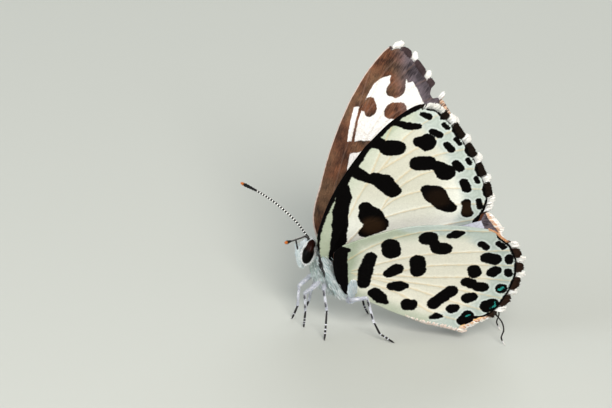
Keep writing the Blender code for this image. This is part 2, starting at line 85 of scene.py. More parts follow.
HIND_MARGIN = (
    (7.4, 9.4), (9.6, 9.45), (12.0, 9.0), (13.1, 8.0), (13.75, 6.2), (13.65, 4.4),
    (12.6, 2.15), (11.6, 1.5), (10.6, 0.78),
)
RIGHT_HIND_DROOP, RIGHT_HIND_PULL = np.radians(9.5), 0.025
DROOP_FROM_Z, DROOP_OVER_Z = 3.0, 6.0
DROOP_CENTRE = (2.0, 4.6)
TAIL_PATH = ((12.3, 2.45), (12.6, 2.15), (12.98, 1.72), (13.2, 1.15), (13.15, 0.55), (13.4, 0.05))
TAIL_RADII = ((0.0, 0.12), (0.2, 0.07), (0.85, 0.05), (1.0, 0.02))
TAIL_STATIONS, TAIL_SIDES = 60, 10

# The inside ends of the webs that join each wing to the thorax
FORE_WEB = ((0.45, 0.55, 4.75), (1.0, 0.6, 4.85), (1.8, 0.6, 4.75))
HIND_WEB = ((1.35, 0.7, 4.75), (1.5, 0.85, 4.4), (1.9, 0.85, 3.7), (2.5, 0.8, 2.9))

# Fringe: its depth in from the edge, the stretch over which it begins, and its white checks
# as (share along the margin, half their width)
FRINGE_DEPTH = {"fore": 0.42, "hind": 0.58}
FRINGE_FROM = {"fore": (0.29, 0.32), "hind": (0.22, 0.33)}
FORE_CHECKS = (
    (0.332, 0.014), (0.360, 0.016), (0.386, 0.010), (0.447, 0.018), (0.560, 0.016),
    (0.665, 0.017), (0.773, 0.016), (0.887, 0.020), (0.931, 0.020),
)
HIND_CHECKS = ((0.386, 0.017), (0.484, 0.013), (0.575, 0.013), (0.682, 0.014), (0.788, 0.015))
WORN_FORE_CHECKS = (
    (0.340, 0.026), (0.461, 0.014), (0.588, 0.012), (0.718, 0.010), (0.870, 0.014),
)
FRINGE_CHECKS = {"fore": FORE_CHECKS, "hind": HIND_CHECKS}
# Tufts' length as a share of the fringe's depth: dark checks, white checks
FRINGE_REACH = {"fore": (0.84, 0.95), "hind": (0.70, 0.76)}
# How far in from the membrane's edge the tufts are rooted, as a share of the wing's length
FRINGE_OVERLAP = {"fore": 0.012, "hind": 0.003}
FRINGE_DARK, FAR_FRINGE_DARK = {"fore": "#190F09", "hind": "#2C1C13"}, "#4A3D3F"
# The rusty start of the hind fringe: where it ends along the margin, over what width, and its tint
HIND_FRINGE_FRONT = {LEFT: (0.366, 0.01), RIGHT: (0.50, 0.02)}
NEAR_FRONT_TINT = (0.85, 0.75, 0.62)
# The black line inside the fringe: where it begins, its width, and its swelling at dark checks
MARGIN_LINE = {"fore": (4.6, 0.12, 0.20), "hind": (10.6, 0.15, 0.05)}
# The right fore wing's worn nick: middle and half width as shares, and depth
FORE_NOTCH = (0.680, 0.028, 0.42)
# The short fringe along the hind wing's rear edge: its span on that edge, and depth
REAR_FRINGE_FROM, REAR_FRINGE_DEPTH = 0.50, 0.26

# Underside markings: chains of circles (back, up, radius) joined into one blot each
BLOT_ROUNDING = 0.06
FORE_BLOTS = (
    ((2.52, 4.83, 0.42), (2.98, 4.11, 0.76), (3.49, 3.35, 0.72), (2.85, 2.50, 0.42)),
    ((1.30, 7.90, 0.42), (1.85, 7.60, 0.38), (2.25, 7.36, 0.30)),
    ((2.25, 7.36, 0.30), (2.75, 7.42, 0.44), (3.35, 7.19, 0.60), (4.03, 6.51, 0.55)),
    ((2.00, 10.40, 0.30), (2.45, 10.45, 0.42), (2.85, 10.30, 0.36), (3.25, 10.10, 0.56),
     (3.80, 10.15, 0.56)),
    ((3.20, 12.20, 0.12), (3.80, 12.10, 0.20), (4.29, 11.99, 0.24), (4.92, 12.06, 0.20)),
    ((5.08, 13.06, 0.17), (5.48, 12.90, 0.21)),
    ((5.10, 10.83, 0.36), (5.55, 10.83, 0.68)),
    ((5.36, 9.03, 0.56), (5.95, 9.12, 0.56)),
    ((6.50, 9.02, 0.34), (6.79, 8.85, 0.40), (7.20, 8.50, 0.66)),
    ((5.87, 11.75, 0.20), (6.36, 11.52, 0.23)),
    ((6.23, 6.87, 0.35), (6.81, 6.52, 0.71), (7.47, 5.76, 0.53), (7.98, 5.46, 0.43)),
    ((6.96, 10.77, 0.21), (7.31, 10.43, 0.23)),
    ((7.79, 9.31, 0.25), (8.12, 8.90, 0.27)),
    ((8.52, 7.79, 0.27), (8.84, 7.22, 0.29)),
    ((8.96, 6.04, 0.27), (9.07, 5.64, 0.22), (9.19, 5.12, 0.38)),
    ((6.53, 12.38, 0.14), (6.79, 12.13, 0.14)),
    ((7.48, 11.31, 0.14), (7.76, 10.96, 0.13)),
    ((8.48, 9.73, 0.14), (8.68, 9.41, 0.13)),
    ((9.27, 8.23, 0.15), (9.44, 7.90, 0.14)),
    ((9.76, 6.29, 0.17), (9.94, 5.69, 0.17)),
    # The band across the base
    ((1.35, -0.40, 0.46), (1.26, 1.50, 0.46), (1.13, 2.96, 0.47), (0.98, 4.25, 0.46),
     (0.98, 5.50, 0.46), (0.85, 6.30, 0.40)),
    # The black leading edge
    ((0.25, -0.40, 0.05), (0.0, 0.8, 0.06), (-0.14, 2.3, 0.08), (0.05, 4.1, 0.10),
     (0.28, 5.3, 0.16)),
    ((0.30, 5.5, 0.18), (0.55, 6.5, 0.40), (0.66, 7.0, 0.42), (0.95, 8.0, 0.42),
     (1.35, 9.0, 0.36), (1.75, 10.0, 0.33)),
    ((1.75, 10.0, 0.33), (2.50, 11.25, 0.22), (3.3, 12.4, 0.20), (4.2, 13.25, 0.18),
     (4.85, 13.70, 0.16)),
)
HIND_BLOTS = (
    ((4.51, 7.35, 0.56), (4.69, 6.82, 0.59)),
    ((3.40, 6.18, 0.40), (3.28, 4.97, 0.43), (3.33, 3.91, 0.39)),
    ((2.90, 4.75, 0.05), (3.30, 4.75, 0.10)),
    ((4.82, 4.92, 0.34), (5.28, 5.35, 0.43)),
    ((5.20, 3.90, 0.29), (5.74, 3.93, 0.37), (6.14, 3.99, 0.18)),
    ((4.19, 3.18, 0.42), (4.66, 2.83, 0.34), (5.00, 2.57, 0.17)),
    ((6.47, 2.51, 0.43), (6.72, 2.51, 0.41)),
    ((6.74, 8.20, 0.50), (6.98, 8.26, 0.47), (7.36, 7.78, 0.27), (7.62, 7.45, 0.40),
     (8.08, 7.47, 0.47)),
    ((8.23, 8.59, 0.20), (8.57, 8.77, 0.29), (8.98, 8.96, 0.16)),
    ((6.51, 6.20, 0.49), (6.71, 5.40, 0.49)),
    ((10.41, 8.14, 0.23), (10.76, 7.88, 0.22)),
    ((11.51, 8.30, 0.20), (11.92, 8.01, 0.18)),
    ((11.00, 6.98, 0.42), (11.54, 6.88, 0.44)),
    ((12.44, 7.16, 0.25), (12.52, 6.84, 0.25)),
    ((10.34, 5.86, 0.40), (10.46, 5.58, 0.42)),
    ((11.62, 5.74, 0.38), (11.80, 5.95, 0.36)),
    ((12.63, 5.93, 0.25), (12.72, 5.70, 0.24)),
    ((10.06, 4.74, 0.36), (10.42, 4.64, 0.38)),
    ((10.86, 4.42, 0.36), (11.22, 4.42, 0.38)),
    ((12.46, 4.42, 0.38),),
    ((10.38, 3.42, 0.40), (10.66, 3.54, 0.34)),
    ((11.77, 2.88, 0.45), (12.10, 3.06, 0.44)),
    ((8.19, 2.73, 0.39), (8.61, 3.22, 0.36), (9.17, 3.84, 0.46)),
    ((9.44, 2.47, 0.32), (9.68, 2.53, 0.28)),
    ((8.19, 1.68, 0.11), (8.50, 1.83, 0.20), (8.84, 1.84, 0.11)),
    ((10.26, 1.61, 0.29), (10.62, 1.99, 0.36), (10.78, 1.52, 0.24)),
    # The band down the base
    ((1.35, 6.35, 0.47), (1.55, 5.05, 0.46), (1.92, 3.80, 0.36), (2.38, 2.90, 0.16)),
    ((1.48, 6.50, 0.36), (1.82, 6.62, 0.16)),
)
BLOT_GROWTH = 0.045
TEAL_MARKS = (
    ((12.36, 4.30, 0.10), (12.56, 4.50, 0.10)),
    ((12.02, 2.72, 0.05), (12.30, 2.95, 0.05), (12.25, 3.30, 0.05)),
    ((10.52, 1.98, 0.05), (10.78, 2.12, 0.05)),
)
# Ground colours: pale, cream and cool; the hind wing's darker cool is partly painted shade where the wing
# curves at its base
UNDERSIDE_COLOURS = {
    "fore": ("#ECEEE6", "#CAC9BA", "#A8B29B"), "hind": ("#D8D9CF", "#D3D1C3", "#939F89"),
}
# Where blots are browner: (back, up, radius, share of brown)
BROWNISH_BLOTS = {
    "fore": ((3.25, 3.15, 0.75, 1.0), (7.1, 6.2, 0.8, 0.35), (9.1, 5.5, 0.6, 0.6)), "hind": (),
}
# Edges that the cool tints follow: the fore wing's leading edge by height, the hind wing's upper
# and lower edges by distance back
FORE_COSTA = ((0.0, 3.2, 5.0, 8.0, 10.0, 13.8), (0.0, -0.12, 0.12, 0.95, 1.75, 4.9))
HIND_COSTA = ((2.7, 4.85, 7.0, 9.3, 11.5), (7.7, 8.7, 9.27, 9.43, 8.95))
HIND_HEM = ((2.2, 4.1, 7.5, 10.6), (2.95, 2.4, 1.32, 0.78))

# Upperside markings, as the far fore wing shows them
FORE_WHITE = (
    (2.78, 6.6), (2.86, 8.2), (3.08, 9.15), (3.35, 10.0), (3.55, 10.45), (3.84, 10.9), (4.33, 11.3),
    (5.25, 11.45), (6.6, 11.2), (6.88, 10.6), (7.25, 10.65), (7.64, 10.1), (7.95, 9.4), (8.4, 8.4),
    (8.75, 6.9), (8.85, 5.9), (8.75, 5.1), (8.5, 4.45), (8.0, 3.85), (7.2, 3.3), (6.3, 2.8),
    (5.3, 2.35), (4.5, 2.02), (3.9, 1.85), (3.35, 1.85), (2.9, 2.1), (2.64, 2.6), (2.5, 3.3),
    (2.43, 4.0), (2.42, 4.7), (2.5, 5.6),
)
FORE_STREAK = ((2.22, 9.3), (2.76, 9.3), (2.62, 8.2), (2.48, 6.75), (2.10, 6.75), (2.08, 8.0))
FORE_UPPER_BLOTS = (
    ((5.62, 10.30, 0.55), (6.08, 10.20, 0.60), (6.00, 11.15, 0.72)),
    ((3.20, 9.10, 0.20), (3.66, 9.42, 0.50), (3.90, 8.95, 0.56)),
    ((5.75, 8.60, 0.64), (6.30, 8.50, 0.66)),
    ((2.2, 6.25, 0.40), (3.2, 6.25, 0.42), (4.0, 6.2, 0.36)),
    ((7.2, 6.4, 0.62), (7.8, 5.7, 0.45)),
    ((3.0, 3.9, 0.55), (3.4, 3.3, 0.50)),
)
HIND_WHITE = (
    (3.4, 7.4), (5.6, 8.6), (8.2, 9.5), (10.2, 9.5), (11.4, 8.2), (12.1, 6.4), (12.3, 4.6),
    (11.9, 3.4), (10.6, 2.3), (8.6, 2.0), (6.2, 2.3), (4.2, 3.1), (3.2, 4.2), (2.8, 5.8),
)
HIND_UPPER_BLOTS = (
    ((6.6, 6.0, 0.40), (6.8, 5.4, 0.38)), ((7.9, 7.7, 0.42),), ((8.7, 3.4, 0.36), (9.2, 3.9, 0.38)),
    ((10.4, 5.6, 0.34),), ((11.0, 4.4, 0.36),), ((11.1, 6.9, 0.36),),
)
# The dark ground, deep and light: red-brown, olive-brown, and violet-grey, a painted bluish sheen
UPPERSIDE_BROWNS = (("#2E1910", "#7C4F37"), ("#2E2017", "#7A5B43"), ("#1F1A1F", "#695F66"))

# Veins: (points from the base out, share of the margin where each ends)
FORE_VEINS = (
    (((0.9, 0.0), (1.6, 4.0), (2.3, 6.9), (3.0, 8.2), (4.5, 11.6)), 0.40),
    (((3.0, 8.2), (5.0, 10.2)), 0.494),
    (((3.8, 6.9), (6.0, 9.6)), 0.61),
    (((1.2, -0.1), (2.7, 3.2), (3.64, 4.83), (3.9, 6.0), (4.69, 7.2), (5.82, 8.24)), 0.724),
    (((3.64, 4.83), (4.16, 5.64), (5.9, 6.72)), 0.834),
    (((2.9, 3.4), (4.08, 4.19), (6.57, 5.39)), 0.91),
    (((1.3, -0.2), (4.5, 2.2), (8.0, 3.9)), 0.985),
    (((2.3, 6.9), (2.7, 9.2)), 0.17),
    (((2.3, 6.9), (3.0, 7.6), (3.8, 6.9), (3.9, 6.0)), None),
)
HIND_VEINS = (
    (((1.6, 5.4), (3.4, 7.2), (6.2, 8.7)), 0.25),
    (((2.4, 4.9), (4.3, 5.8), (5.94, 6.52), (10.39, 7.46)), 0.42),
    (((2.4, 4.7), (4.26, 4.80), (7.23, 5.84), (9.97, 6.25)), 0.52),
    (((4.26, 4.80), (7.08, 4.84), (9.94, 5.15)), 0.615),
    (((2.6, 4.6), (5.33, 4.39), (8.87, 4.13)), 0.727),
    (((3.2, 4.5), (6.41, 3.87), (8.52, 3.26)), 0.82),
    (((2.6, 4.2), (5.66, 3.38), (8.04, 2.13)), 0.93),
)

# Body: rows of (back, up, lean in degrees, half height, half width) of upright sections
SKIN_DEPTH = 0.05
BODY_ROWS = (
    (-0.81, 5.19, 14, 0.06, 0.05), (-0.77, 5.17, 14, 0.40, 0.24), (-0.67, 5.14, 14, 0.68, 0.38),
    (-0.45, 5.08, 14, 0.86, 0.47), (-0.26, 5.03, 15, 0.75, 0.42), (-0.06, 4.87, 19, 0.66, 0.42),
    (0.14, 4.62, 24, 0.72, 0.52), (0.44, 4.45, 25, 1.00, 0.70), (1.02, 4.18, 25, 1.38, 0.92),
    (1.73, 3.85, 25, 1.60, 1.02), (2.44, 3.53, 25, 1.52, 0.98), (3.03, 3.26, 24, 1.18, 0.84),
    (3.38, 3.10, 20, 0.85, 0.68), (3.63, 2.99, 14, 0.62, 0.58), (4.3, 2.86, 6, 0.66, 0.64),
    (5.7, 2.77, 4, 0.76, 0.74), (7.15, 2.63, 7, 0.74, 0.72), (8.45, 2.44, 9, 0.56, 0.52),
    (9.2, 2.34, 9, 0.34, 0.30), (9.52, 2.30, 9, 0.12, 0.10),
)
BODY_STATIONS, BODY_SIDES = 240, 72
ABDOMEN_FROM, ABDOMEN_TO, ABDOMEN_SEGMENTS, CREASE, CREASE_WIDTH = 3.8, 9.4, 7, 0.035, 0.12
# The black stripe behind the eye, on the body's own hair and on the hairs over the wing bases
NECK_STRIPE = ((0.10, 5.5, 0.06), (0.36, 4.77, 0.07), (0.68, 4.05, 0.04))
SHOULDER_STRIPE = ((0.20, 5.34, 0.05), (0.36, 4.77, 0.07), (0.68, 4.05, 0.05))
STRIPE_BLACK = "#0D0B0A"

# Head
EYE_LEAN = np.radians(10.5)
EYE_CENTRES = {LEFT: (-0.43, -0.58, 5.385), RIGHT: (-0.43, 0.56, 5.28)}
EYE_HALF_HEIGHTS = {LEFT: 0.84, RIGHT: 0.76}
EYE_HALF_DEPTH, EYE_HALF_WIDTH, EYE_TOP, EYE_INWARD, LOBE_BACK = 0.385, 0.46, 0.92, 0.20, 0.05
EYE_RINGS, EYE_SIDES = 48, 64
PALP_PATH = (
    (-0.50, 0.22, 4.50), (-0.72, 0.38, 4.22), (-0.95, 0.45, 4.60), (-1.05, 0.46, 5.03),
    (-1.17, 0.42, 5.42), (-1.29, 0.38, 5.78),
)
PALP_RADII = ((0.0, 0.12), (0.3, 0.16), (0.55, 0.14), (0.72, 0.085), (0.9, 0.08), (1.0, 0.03))
PALP_STATIONS, PALP_SIDES = 70, 14
ANTENNA_PATHS = {
    LEFT: ((-0.40, -0.22, 5.84), (-0.58, -0.36, 6.20), (-0.80, -0.72, 6.45), (-1.20, -1.6, 6.72),
           (-1.87, -3.2, 7.20), (-2.63, -5.0, 7.74)),
    RIGHT: ((-0.40, 0.20, 5.84), (-0.57, 0.34, 6.05), (-0.86, 0.68, 6.32), (-1.31, 1.05, 6.70),
            (-2.06, 1.65, 7.14), (-3.07, 2.4, 7.59), (-4.04, 3.2, 7.81), (-4.97, 4.0, 7.91)),
}
ANTENNA_RADII = (
    (0.0, 0.09), (0.03, 0.10), (0.07, 0.066), (0.76, 0.064), (0.86, 0.095), (0.93, 0.12),
    (0.985, 0.09), (1.0, 0.02),
)
ANTENNA_SEGMENTS, ANTENNA_STATIONS, ANTENNA_SIDES = 30, 420, 14

# Legs: points from inside the thorax to the foot, with the numbers of the knee and ankle points
LEGS = {
    "fore_left": (((0.75, -0.45, 3.35), (0.15, -0.95, 2.98), (-0.36, -1.02, 2.52),
                   (-0.15, -1.0, 1.25), (-0.11, -0.95, 0.04)), 2, 3),
    "fore_right": (((0.75, 0.45, 3.35), (0.10, 0.95, 2.90), (-0.55, 0.85, 2.18),
                    (-0.51, 0.5, 0.86), (-0.78, 0.3, 0.04)), 2, 3),
    "mid_left": (((1.0, -0.45, 3.2), (0.80, -1.28, 3.05), (1.11, -2.0, 1.84),
                  (1.13, -2.4, 0.97), (1.13, -2.7, 0.04)), 1, 2),
    "mid_right": (((1.35, 0.7, 2.75), (0.55, 1.30, 2.6), (0.40, 1.65, 1.5),
                   (0.40, 1.95, 0.7), (0.3, 2.2, 0.04)), 1, 3),
    "hind_left": (((2.45, -0.7, 2.6), (2.65, -1.6, 2.55), (3.62, -2.2, 3.08),
                   (4.31, -2.2, 1.35), (4.81, -2.2, 0.56), (5.79, -2.25, 0.04)), 2, 3),
    "hind_right": (((2.45, 0.7, 2.6), (2.6, 1.6, 2.2), (3.5, 2.1, 2.64),
                    (3.95, 1.95, 1.2), (4.15, 1.95, 0.6), (4.5, 2.0, 0.04)), 2, 3),
}
LEG_STATIONS, LEG_SIDES = 96, 12
THIGH_RADIUS, KNEE_RADIUS, SHIN_RADIUS = 0.125, 0.088, 0.082
ANKLE_RADIUS, FOOT_RADIUS = 0.078, 0.068
FOOT_JOINTS = (0.0, 0.46, 0.62, 0.75, 0.87, 1.0)
RING_LENGTH = 0.05
DARK_SIDE_OF_SHIN, PALER_SHINS = (-0.9, -0.5, 0.2), ("fore_right", "mid_right")
SPUR, CLAW, UPPER_THIGH_TUFTS = (0.16, 0.028), (0.13, 0.024), 450  # length and radius; count

# Shapes of all tubes: where their seam lies, and how flat tails and palps are
TUBE_SEAM, FLATTENED = (0.3, 0.2, 0.9), 0.7

# Coat. A tuft's shape is its width at heights from 0 to 1; PATCH is its size on the unwrap
PATCH, BLADE_FLATNESS = 0.003, 0.45
LOCK = ((0.0, 0.75), (0.35, 1.0), (0.75, 0.65))
SCALE_TUFT = ((0.0, 0.7), (0.5, 1.0), (0.93, 0.85))
FRINGE_COAT = (6, 620, 0.036)  # rows, tufts in a row, width
FRINGE_TO, COMB_TEETH = 0.998, 240
COATS = {  # tufts on each piece, width of one
    "rear_fringe": (1500, 0.032), "tail_scales": (520, 0.03), "eye_rim": (1100, 0.026),
    "palp_hair": (1700, 0.026), "leg_hair": (1300, 0.022), "wing_base_hair": (3600, 0.026),
    "hind_wing_hair": (1100, 0.022),
}
BODY_COATS = {  # tufts, length, width and lift of one
    "head_hair": (6500, 0.24, 0.028, 0.28), "face_hair": (3000, 0.37, 0.028, 0.7),
    "thorax_hair": (11800, 0.52, 0.030, 0.30), "abdomen_hair": (7500, 0.30, 0.036, 0.16),
}
BASE_HAIR_LINE = (
    (0.35, 1.0, 5.15), (0.75, 1.15, 4.7), (1.25, 1.25, 4.0), (1.75, 1.2, 3.3), (2.2, 1.15, 2.8),
)
HIND_PATCH = ((2.62, 3.5), (0.30, 0.75))  # centre and reach of the short hairs on the hind wing
SEEDS = {
    "body": 7, "fringe": 20, "rear_fringe": 30, "tail": 40, "eye_rim": 60, "palp": 70, "wing_base": 80,
}

# Finishes and studio
CHITIN_IOR, RELIEF_DEPTH, WING_SCALE = 1.55, 0.02, 0.09
FLOOR_HALF, LIGHT_DISTANCE, LIT_CENTRE = 600.0, 300.0, (4.0, 0.0, 7.0)
STUDIO_LIGHTS = {  # direction, side in mm, watts, colour
    "key": ((0.10, -1.0, 0.78), 140.0, 0.95, "#FFF9F2"),
    "fill": ((-1.0, -0.45, 0.35), 220.0, 0.48, "#F4F8FF"),
    "back": ((0.3, 0.9, 0.8), 200.0, 0.30, "#FFFFFF"),
}
ROOM_COLOUR, ROOM_STRENGTH = "#E6EAE6", 0.45


def place(points):
    """Millimetres to the frame's metres."""
    return (np.asarray(points, float) - BOX_CENTRE) * MM


def smooth_step(value):
    """0 below 0, 1 above 1, and an S-curve between."""
    value = np.clip(value, 0.0, 1.0)
    return value * value * (3.0 - 2.0 * value)


def ramp(value, start, width):
    """0 before start, 1 past start + width, and an S-curve between; a width below 0 runs the other way."""
    return smooth_step((value - start) / width)


def unit(arrows):
    return arrows / np.maximum(np.linalg.norm(arrows, axis=-1, keepdims=True), 1e-9)


def vectors(x, y, z):
    """Vectors from three numbers or arrays of numbers."""
    return np.stack(np.broadcast_arrays(x, y, z), -1)


def turned(first, second, angle):
    """Two directions or coordinates turned together in their own plane."""
    cosine, sine = np.cos(angle), np.sin(angle)
    return first * cosine - second * sine, second * cosine + first * sine


def linear(hex_colour):
    """An sRGB hex colour as linear red, green and blue."""
    value = np.array([int(hex_colour[k:k + 2], 16) for k in (1, 3, 5)]) / 255
    return np.where(value <= 0.04045, value / 12.92, ((value + 0.055) / 1.055) ** 2.4)


def mix(first, second, share):
    """first at share 0, second at share 1: arrays or hex colours, and one share for all or one a row."""
    first, second = (linear(end) if isinstance(end, str) else np.asarray(end) for end in (first, second))
    share = np.asarray(share, float)[..., None]
    return first * (1 - share) + second * share


def between(rng, first, second, count, top=1.0):
    """One colour a row, drawn evenly between two hex colours."""
    return mix(first, second, rng.uniform(0, top, count))


def chain_steps(points):
    """Lengths of a chain's steps, and the length run at each of its points."""
    steps = np.linalg.norm(np.diff(np.asarray(points, float), axis=0), axis=1)
    return steps, np.concatenate([[0.0], np.cumsum(steps)])


def curve_through(points, shares):
    """A smooth cubic through the given points, at shares 0 to 1 of their chained length."""
    points = np.asarray(points, float)
    steps, knots = chain_steps(points)
    slopes = np.gradient(points, knots, axis=0)
    at = np.clip(np.asarray(shares, float), 0.0, 1.0) * knots[-1]
    span = np.clip(np.searchsorted(knots, at, side="right") - 1, 0, len(steps) - 1)
    width = steps[span][:, None]
    u = (at - knots[span])[:, None] / width
    start, end = points[span], points[span + 1]
    leave, arrive = slopes[span] * width, slopes[span + 1] * width
    bend = 2 * (start - end) + leave + arrive
    return start + u * (leave + u * (3 * (end - start) - 2 * leave - arrive + u * bend))


def table_at(table, shares):
    """Rows of (share, value) read at the given shares."""
    return np.interp(shares, *np.transpose(table))


def wing_plan(kind, across, along):
    """Flat places on a wing at shares across and along it: the two rulings between its edge
    curves added up, less the corners they share."""
    root, front, rear, margin = WINGS[kind]["edges"]
    s, t = across[..., None], along[..., None]
    at_front, at_rear, at_root, at_margin = (
        curve_through(edge, shares.ravel()).reshape(*across.shape, 2)
        for edge, shares in ((front, along), (rear, along), (root, across), (margin, across)))
    ends = curve_through(root, (0, 1)), curve_through(margin, (0, 1))
    corners = (1 - t) * ((1 - s) * ends[0][0] + s * ends[0][1])
    corners = corners + t * ((1 - s) * ends[1][0] + s * ends[1][1])
    return (1 - s) * at_front + s * at_rear + (1 - t) * at_root + t * at_margin - corners


def fore_surface(plan, side):
    """Fore wing plan laid on its leaning, cambered surface, with outward normals."""
    back, up = plan[..., 0], plan[..., 1]
    if side == RIGHT:
        from_upright = np.arctan2(back, np.maximum(up, 0.01))
        hold = LEADING_HOLD * np.clip(1.0 - from_upright / HOLD_REACH, 0.0, 1.0) ** 2
        turn = (RIGHT_FORE_SWEEP - hold) * smooth_step(np.hypot(back, up) / SWEEP_RADIUS)
        back, up = turned(back, up, turn)
    out = FORE_HINGE_Y + up * np.sin(FORE_LEAN) - FORE_CAMBER * (up / 10.0) ** 2
    slope = np.sin(FORE_LEAN) - 0.02 * FORE_CAMBER * up
    normal = vectors(0.0, side * np.cos(FORE_LEAN), -slope)
    return vectors(back, side * out, FORE_HINGE_Z + up * np.cos(FORE_LEAN)), unit(normal)


def hind_surface(plan, side):
    """Hind wing plan laid on its hanging, out-leaning surface, with outward normals."""
    back, height = plan[..., 0], plan[..., 1]
    if side == RIGHT:
        fade = ramp(height, DROOP_FROM_Z, DROOP_OVER_Z)
        x = (back - DROOP_CENTRE[0]) * (1.0 - RIGHT_HIND_PULL * fade)
        x, z = turned(x, height - DROOP_CENTRE[1], -RIGHT_HIND_DROOP * fade)
        back, height = DROOP_CENTRE[0] + x, DROOP_CENTRE[1] + z
    rise = height - HIND_BEND_Z
    reach = np.sqrt(rise ** 2 + HIND_BEND ** 2)
    above = np.maximum(rise, 0.0)
    out = HIND_FOOT_Y + HIND_LEAN * (reach + rise) - HIND_CAMBER * above ** 2
    slope = HIND_LEAN * (rise / reach + 1.0) - 2 * HIND_CAMBER * above
    return vectors(back, side * out, height), unit(vectors(0.0, side, -slope))


def rounded(corners):
    """A closed patch whose every corner is cut twice, a quarter of the way along its sides."""
    for _ in range(2):
        after = np.roll(corners, -1, 0)
        cuts = [mix(corners, after, 0.25), mix(corners, after, 0.75)]
        corners = np.stack(cuts, 1).reshape(-1, 2)
    return corners


# edges are (root, front, rear, margin), all in the wing's own plan
WINGS = {
    "fore": {"edges": (FORE_ROOT, FORE_FRONT, FORE_REAR, FORE_MARGIN), "surface": fore_surface,
             "web": FORE_WEB, "veins": FORE_VEINS, "blots": FORE_BLOTS, "teal": (),
             "white": (FORE_WHITE, FORE_STREAK), "upper_blots": FORE_UPPER_BLOTS},
    "hind": {"edges": (HIND_ROOT, HIND_FRONT, HIND_REAR, HIND_MARGIN), "surface": hind_surface,
             "web": HIND_WEB, "veins": HIND_VEINS, "blots": HIND_BLOTS, "teal": TEAL_MARKS,
             "white": (rounded(HIND_WHITE),), "upper_blots": HIND_UPPER_BLOTS},
}


def to_bar(plan, start, run):
    """Distance to a straight bar, and the share of its length where it is nearest."""
    share = np.clip((plan - start) @ run / max(run @ run, 1e-9), 0.0, 1.0)
    gap = plan - start - share[..., None] * run
    return np.hypot(gap[..., 0], gap[..., 1]), share


def chain_distance(plan, chain):
    """Distance to circles (back, up, radius) joined by tapering bars and rounded together, below 0 inside."""
    circles = np.asarray(chain, float)
    if len(circles) == 1:
        circles = np.repeat(circles, 2, 0)
    found = []
    for start, end in zip(circles[:-1], circles[1:]):
        reach, share = to_bar(plan, start[:2], end[:2] - start[:2])
        found.append(reach - start[2] - share * (end[2] - start[2]))
    found = np.array(found)
    least = found.min(0)
    return least - BLOT_ROUNDING * np.log(np.exp((least - found) / BLOT_ROUNDING).sum(0))


def patch_distance(plan, corners):
    """Distance to a patch's nearest side, below 0 inside: there, a ray crosses its sides an odd
    number of times."""
    corners = np.asarray(corners, float)
    least, inside = np.full(plan.shape[:-1], 1e9), np.zeros(plan.shape[:-1], bool)
    for start, end in zip(corners, np.roll(corners, -1, 0)):
        run = end - start
        least = np.minimum(least, to_bar(plan, start, run)[0])
        spans = (start[1] > plan[..., 1]) != (end[1] > plan[..., 1])
        crossing = start[0] + (plan[..., 1] - start[1]) * run[0] / (run[1] or 1e-9)
        inside ^= spans & (plan[..., 0] < crossing)
    return np.where(inside, -least, least)


def nearest(plan, chains):
    """Distance to the nearest of several chains."""
    return np.min([chain_distance(plan, chain) for chain in chains], axis=0)


def vein_distance(plan, kind):
    """Distance to the nearest vein: a smooth line from the base to its share of the margin."""
    lines = []
    for points, share in WINGS[kind]["veins"]:
        if share is not None:
            points = (*points, tuple(curve_through(WINGS[kind]["edges"][3], (share,))[0]))
        lines.append(np.pad(curve_through(points, np.linspace(0, 1, VEIN_STATIONS)), ((0, 0), (0, 1))))
    return np.maximum(nearest(plan, lines), 0.0)


def check_at(kind, side, across):
    """How far each place is from the nearest white check's middle, in half widths, with its sign."""
    checks = np.array(WORN_FORE_CHECKS if (kind, side) == FAR_FORE else FRINGE_CHECKS[kind])
    away = (across[..., None] - checks[:, 0]) / checks[:, 1]
    closest = np.abs(away).argmin(-1)[..., None]
    return np.take_along_axis(away, closest, -1)[..., 0]


def edge_share(kind, side, across):
    """Share of each line along the wing that is membrane: all but the fringe, and a worn nick."""
    full, step = np.ones_like(across), 0.05
    gap = wing_plan(kind, across, full) - wing_plan(kind, across, full - step)
    begin, end = FRINGE_FROM[kind]
    depth = FRINGE_DEPTH[kind] * ramp(across, begin, end - begin)
    if (kind, side) == FAR_FORE:
        middle, half, nick = FORE_NOTCH
        depth = depth + nick * smooth_step(1.4 - np.abs(across - middle) / half)
    return 1.0 - depth / (np.linalg.norm(gap, axis=-1) / step)


def underside_marks(kind, side, plan, inner_edge, across):
    """Distances in mm to the dark blots and the margin line and to the teal marks, and the share
    of brown in the blots."""
    dark = nearest(plan, WINGS[kind]["blots"]) - BLOT_GROWTH
    line_from, line_width, swell = MARGIN_LINE[kind]
    tornal = ramp(across, 0.85, 0.02) if kind == "hind" else 0 * across
    line_here = smooth_step((plan[..., 0] - line_from + 0.8 * tornal) / 0.8)
    width = line_width + swell * ramp(np.abs(check_at(kind, side, across)), 1.0, 1.2)
    if kind == "fore":
        width = width + 0.10 * ramp(across, 0.43, -0.04) + 0.10 * ramp(across, 0.86, 0.03)
    from_line = np.maximum(inner_edge - 0.20 * tornal - width, 0.24 * tornal - 0.10 - inner_edge)
    dark = np.minimum(dark, from_line + (1 - line_here))
    brown = np.zeros(dark.shape)
    for back, up, radius, share in BROWNISH_BLOTS[kind]:
        reach = np.hypot(plan[..., 0] - back, plan[..., 1] - up)
        brown = np.maximum(brown, share * smooth_step(1.5 - reach / radius))
    teal = nearest(plan, WINGS[kind]["teal"]) if WINGS[kind]["teal"] else np.full(dark.shape, 9.0)
    return {"dark": dark, "teal": teal, "brown": brown}


